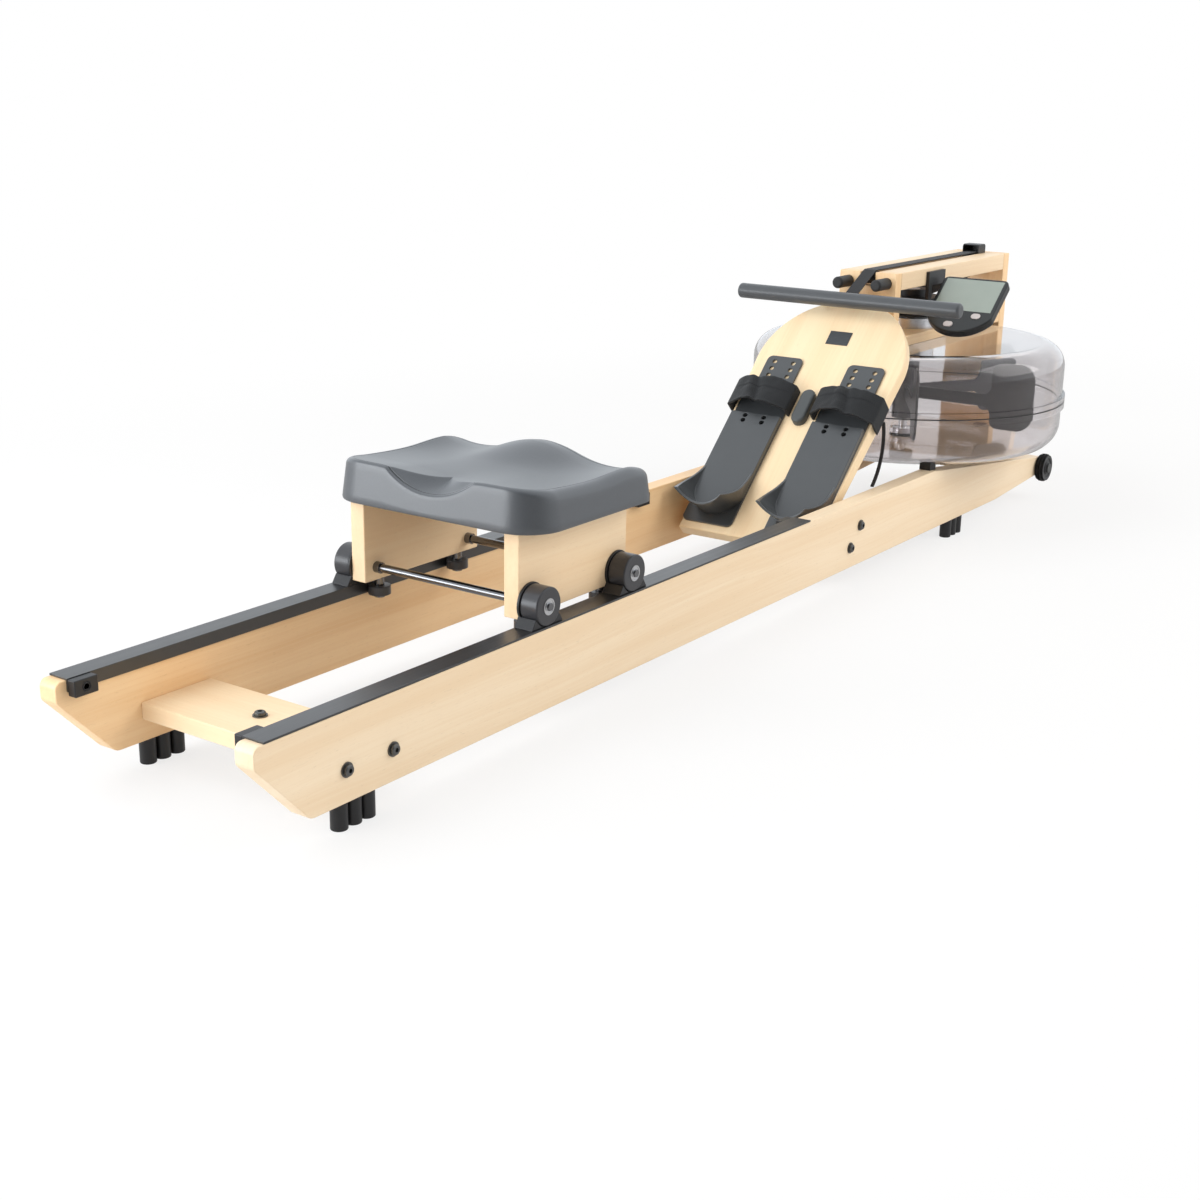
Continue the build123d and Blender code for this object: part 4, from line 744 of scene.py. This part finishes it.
tail_points = arc_through((0.3762, 0.2422), (0.3782, 0.1907), (0.3487, 0.1392), 33)
tail_side, tail_width, tail_thick = 0.13645, 0.0056, 0.0022
tail_shift = 0.0012
tail_parts = []
for side in (-1, 1):
    def tail_place(u, v):
        x, z = tail_points[round(u * (len(tail_points) - 1))]
        return Vector((x + tail_shift, side * (tail_side + (v - 0.5) * tail_width), z))

    tail = skin("strap_tail", len(tail_points) - 1, 2, tail_place)
    applied(tail, "SOLIDIFY", thickness=tail_thick, offset=0.0)
    tail_parts.append(tail)
only(*tail_parts)
bpy.ops.object.join()
tails = bpy.context.object
tails.name = "foot_strap_tails"
bpy.ops.object.shade_smooth_by_angle(angle=radians(50))
painted(tails, webbing("tail webbing", 0.103, 0.006, strap_dark, strap_light))
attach(tails, "frame")


# Seat carriage: two beech side boards on dark steel axle rods, with rubber-faced rollers on bright ball
# bearings, moulded guards beside them, and guide rollers under the boards.
seat_beech = beech("beech of the seat boards", (0.0, 0.0, 0.0), (0.90, 0.69, 0.45), (0.85, 0.61, 0.37))
eased("carriage_boards", "seat_boards", board_ease, seat_beech, "seat_carriage")
roller_black = moulded("black roller tyre", (0.026, 0.026, 0.029), (0.048, 0.048, 0.053), 0.32,
                       1100.0, 0.0003)
for end in ("rear", "front"):
    dressed(roller_black, f"{end}_rollers", f"left_{end}_guide_roller", f"right_{end}_guide_roller")
rod_steel = Finish("polished dark rod")
rod_place = rod_steel.node("TexCoord", output="Object")
rod_lines = rod_steel.noise(rod_steel.scaled(rod_place, (1500.0, 40.0, 1500.0)), 1.0, 2.0)
rod_steel.surface({
    "Base Color": rod_steel.mix(rod_lines, (0.15, 0.15, 0.155), (0.24, 0.24, 0.25)),
    "Metallic": 1.0,
    "Roughness": 0.16 + 0.10 * rod_lines,
    "Normal": rod_steel.bump(rod_lines, 0.06, 0.0002),
})
dressed(rod_steel, "seat_axles")
eased("roller_guard_mouldings", "roller_guards", 0.0007, black_plastic, "seat_carriage")
bearing_rings = ((0.0016, 0.0), (0.0003, -0.0007), (0.0032, 0.0), (0.0003, 0.0006), (0.0012, 0.0))
bearing_inner, bearing_outer = 0.1403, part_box("roller_bearings")[1].y
bearing_radius = 0.0105
bearing_wide = bearing_outer - bearing_inner
axle_places, axle_z = (-0.57005, -0.38605), 0.1653
bearing_parts = []
for axle_x in axle_places:
    for side in (-1, 1):
        middle = (axle_x, side * (bearing_outer + bearing_inner) / 2, axle_z)
        bearing_parts.append(faced_disc("bearing", middle, bearing_radius, bearing_wide, bearing_rings, 48))
only(*bearing_parts)
bpy.ops.object.join()
bearings = bpy.context.object
bearings.name = "roller_bearing_rings"
bpy.ops.object.shade_smooth_by_angle(angle=radians(38))
painted(bearings, bright_steel)
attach(bearings, "seat_carriage")
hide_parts("roller_bearings")


# Seat cushion: one moulding of dark grey foam with a tough pebbled skin, hollowed for the thighs with
# a raised pommel in front and a notch behind. It is pressed onto the pan that the boards carry.
dressed(black_plastic, "seat_pan")
seat_low, seat_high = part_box("seat_cushion")
seat_half = seat_high.y
rear_corner, front_corner = 0.055, 0.026
side_lean = tan(radians(8))
rear_roll, side_roll = 0.0035, 0.012
seam_wide, seam_deep = 0.0022, 0.0007
pocket_inset, pocket_height = 0.0117, 0.0103
# Heights of the top over the base, at stations from the rear edge: beside the edge, in the hollow,
# on the shoulder, in the middle; and how far from the middle the shoulder stands.
seat_stations = (0.0, 0.062, 0.140, 0.216, 0.262)
seat_edge = (0.055, 0.0500, 0.0490, 0.0565, 0.043)
seat_hollow = (0.056, 0.0475, 0.0415, 0.040, 0.0365)
seat_shoulder = (0.0555, 0.047, 0.043, 0.048, 0.0445)
seat_middle = (0.043, 0.042, 0.046, 0.062, 0.056)
seat_wave = (0.074, 0.072, 0.062, 0.058, 0.058)
seat_bow = (0.9, 1.3, 1.7, 1.8, 1.8)
notch_half, notch_floor, notch_lip = 0.0745, 0.0295, 0.0545
notch_wall, notch_point = 0.0125, 0.036


def along_seat(values, station):
    """A smooth curve through one height at each station."""
    last = len(seat_stations) - 1
    i = max(k for k in range(last) if seat_stations[k] <= max(station, 0.0))
    share = (station - seat_stations[i]) / (seat_stations[i + 1] - seat_stations[i])
    a, b, c, d = (values[max(0, min(last, k))] for k in (i - 1, i, i + 1, i + 2))
    return b + 0.5 * share * (c - a + share * (2 * a - 5 * b + 4 * c - d + share * (3 * (b - c) + d - a)))


def moulded_height(station, y):
    edge, hollow, shoulder, middle, wave, bow = (along_seat(values, station) for values in (
        seat_edge, seat_hollow, seat_shoulder, seat_middle, seat_wave, seat_bow))
    if y < wave:
        return middle + (shoulder - middle) * (y / wave) ** bow
    share = 2 * (y - wave) / (seat_half - wave)
    bend = edge - 2 * hollow + shoulder
    return shoulder + share * (hollow - shoulder) + 0.5 * share * (share - 1) * bend


def seat_top(x, y):
    """Height of the seat's top: a dished moulding with a pommel in front and a scooped notch behind."""
    station = max(0.0, min(x - seat_low.x, seat_stations[-1]))
    across = abs(y)
    blur = 0.005
    z = sum(moulded_height(station, abs(across + k * blur)) for k in (-2, -1, 0, 1, 2)) / 5
    beside = min(1.0, across / notch_half)
    reach = notch_wall * (1.0 - beside ** 8) + notch_point * (1.0 - beside) ** 2.4
    share = (station - 0.006) / reach if reach > 0.0005 else 1.0
    if share < 1.0:
        floor_z = notch_floor + (notch_lip - notch_floor) * beside ** 2.1
        z = min(z, floor_z + (z - floor_z) * max(0.0, share) ** 1.7)
    return seat_low.z + z


seat_centre = Vector(((seat_low.x + seat_high.x) / 2, 0.0, 0.0))
seat_shares = [0.05 * k for k in range(10)] + [0.5 + 0.0125 * k for k in range(41)]


def seat_column(spot, normal):
    """The cushion's skin over one point of its outline: over the top, down the side, up into the pocket."""
    roll = rear_roll + (side_roll - rear_roll) * max(0.0, min(1.0, 1.0 + normal.x)) ** 0.7
    height = 0.05
    for _ in range(4):
        rim = spot - normal * (side_lean * height + roll)
        height = seat_top(rim.x, rim.y) - seat_low.z
    column = []
    inner = rim - normal * seam_wide
    for share in seat_shares:
        place = seat_centre.lerp(inner, share)
        column.append(Vector((place.x, place.y, seat_top(place.x, place.y))))
    profile = [(side_lean * height + roll + seam_wide * k, height - seam_deep) for k in (0.75, 0.35)]
    for turn in (0, 15, 30, 45, 60, 75, 90):
        z = height - roll * (1.0 - cos(radians(turn)))
        profile.append((side_lean * z + roll * (1.0 - sin(radians(turn))), z))
    wall = height - roll - 0.003
    profile += [(side_lean * z, z) for z in (0.003 + wall * k / 6 for k in (5, 4, 3, 2, 1, 0))]
    profile += [(0.0009, 0.0009), (0.003, 0.0), (pocket_inset, 0.0), (pocket_inset, pocket_height)]
    for inset, z in profile:
        place = spot - normal * inset
        column.append(Vector((place.x, place.y, seat_low.z + z)))
    column.append(Vector((seat_centre.x, 0.0, seat_low.z + pocket_height)))
    return column


seat_corners = (
    (seat_low.x + rear_corner, seat_half - rear_corner, rear_corner, 90, 28, 104),
    (seat_low.x + rear_corner, rear_corner - seat_half, rear_corner, 180, 28, 40),
    (seat_high.x - front_corner, front_corner - seat_half, front_corner, 270, 14, 60),
    (seat_high.x - front_corner, seat_half - front_corner, front_corner, 0, 14, 40),
)
seat_spots = []
for k, (x, y, radius, turn, bend, run) in enumerate(seat_corners):
    for i in range(bend + 1):
        angle = radians(turn + 90 * i / bend)
        normal = Vector((cos(angle), sin(angle), 0.0))
        seat_spots.append((Vector((x, y, 0.0)) + radius * normal, normal))
    last = seat_spots[-1][0]
    x, y, radius = seat_corners[(k + 1) % 4][:3]
    following = Vector((x, y, 0.0)) + radius * normal
    seat_spots += [(last.lerp(following, i / run), normal) for i in range(1, run)]
seat_columns = [seat_column(*spot) for spot in seat_spots]
seat_rows = len(seat_columns[0]) - 1


def cushion_place(u, v):
    column = seat_columns[round(v * len(seat_columns)) % len(seat_columns)]
    return column[round(u * seat_rows)]


cushion = skin("seat_cushion_foam", seat_rows, len(seat_columns), cushion_place)
only(cushion)
bpy.ops.object.mode_set(mode="EDIT")
bpy.ops.mesh.select_all(action="SELECT")
bpy.ops.mesh.remove_doubles(threshold=1e-6)
bpy.ops.mesh.normals_make_consistent(inside=False)
bpy.ops.object.mode_set(mode="OBJECT")
bpy.ops.object.shade_smooth_by_angle(angle=radians(42))
seat_foam = Finish("pebbled seat foam")
foam_place = seat_foam.node("TexCoord", output="Object")
foam_row = seat_foam.node("SeparateXYZ", None, {"Vector": seat_foam.node("UVMap", {"uv_map": "UVMap"})}, 0)
seat_seam = len(seat_shares) / seat_rows
foam_top = seat_foam.smooth(foam_row, seat_seam - 0.5 / seat_rows, seat_seam + 0.5 / seat_rows, 1.0, 0.0)
# Painted shade: the base colour darkens in a narrow band along the seam groove between the pebbled top and
# the side band, where shade falls in the groove.
seam_groove_painted_shade = seat_foam.smooth(abs(foam_row - seat_seam), 0.2 / seat_rows, 1.4 / seat_rows, 1.0, 0.0)
pebbles = seat_foam.node("TexVoronoi", {"feature": "SMOOTH_F1"}, {"Vector": foam_place, "Scale": 420.0})
foam_fine = seat_foam.noise(foam_place, 1500.0, 2.0)
foam_cloud = seat_foam.noise(foam_place, 14.0, 3.0)
foam_tone = seat_foam.mix(foam_cloud * 0.6 + pebbles * 0.4, (0.040, 0.045, 0.052), (0.056, 0.062, 0.071))
seat_foam.surface({
    "Base Color": seat_foam.mix(seam_groove_painted_shade * 0.55, foam_tone, (0.018, 0.019, 0.021)),
    "Roughness": 0.46 + 0.12 * foam_top + 0.08 * foam_cloud,
    "Normal": seat_foam.bump(pebbles * foam_top + foam_fine * 0.25, 0.30, 0.0007),
    "Specular IOR Level": 0.65,
    "Coat Weight": 0.85,
    "Coat Roughness": 0.34,
})
painted(cushion, seat_foam)
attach(cushion, "seat_carriage")
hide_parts("seat_cushion")


# Monitor: a black moulded housing with a grey-green display behind a clear lens and two pale oval
# buttons, tilting on an arm that is screwed to the beam.
housing_black = moulded("black monitor housing", (0.009, 0.010, 0.010), (0.020, 0.021, 0.021), 0.34,
                        1500.0, 0.0003)
dressed(housing_black, "monitor_housing")
dressed(black_plastic, "monitor_arm")
display = Finish("grey-green display")
display_place = display.node("TexCoord", output="Object")
display_cloud = display.noise(display_place, 22.0, 2.0)
display.surface({
    "Base Color": display.mix(display_cloud, (0.265, 0.310, 0.270), (0.310, 0.355, 0.315)),
    "Roughness": 0.16 + 0.06 * display_cloud,
    "Coat Weight": 0.5,
    "Coat Roughness": 0.05,
})
dressed(display, "monitor_lens")
button_pale = moulded("pale button rubber", (0.52, 0.47, 0.46), (0.62, 0.57, 0.56), 0.45, 900.0, 0.0003)
dressed(button_pale, "left_button", "right_button")
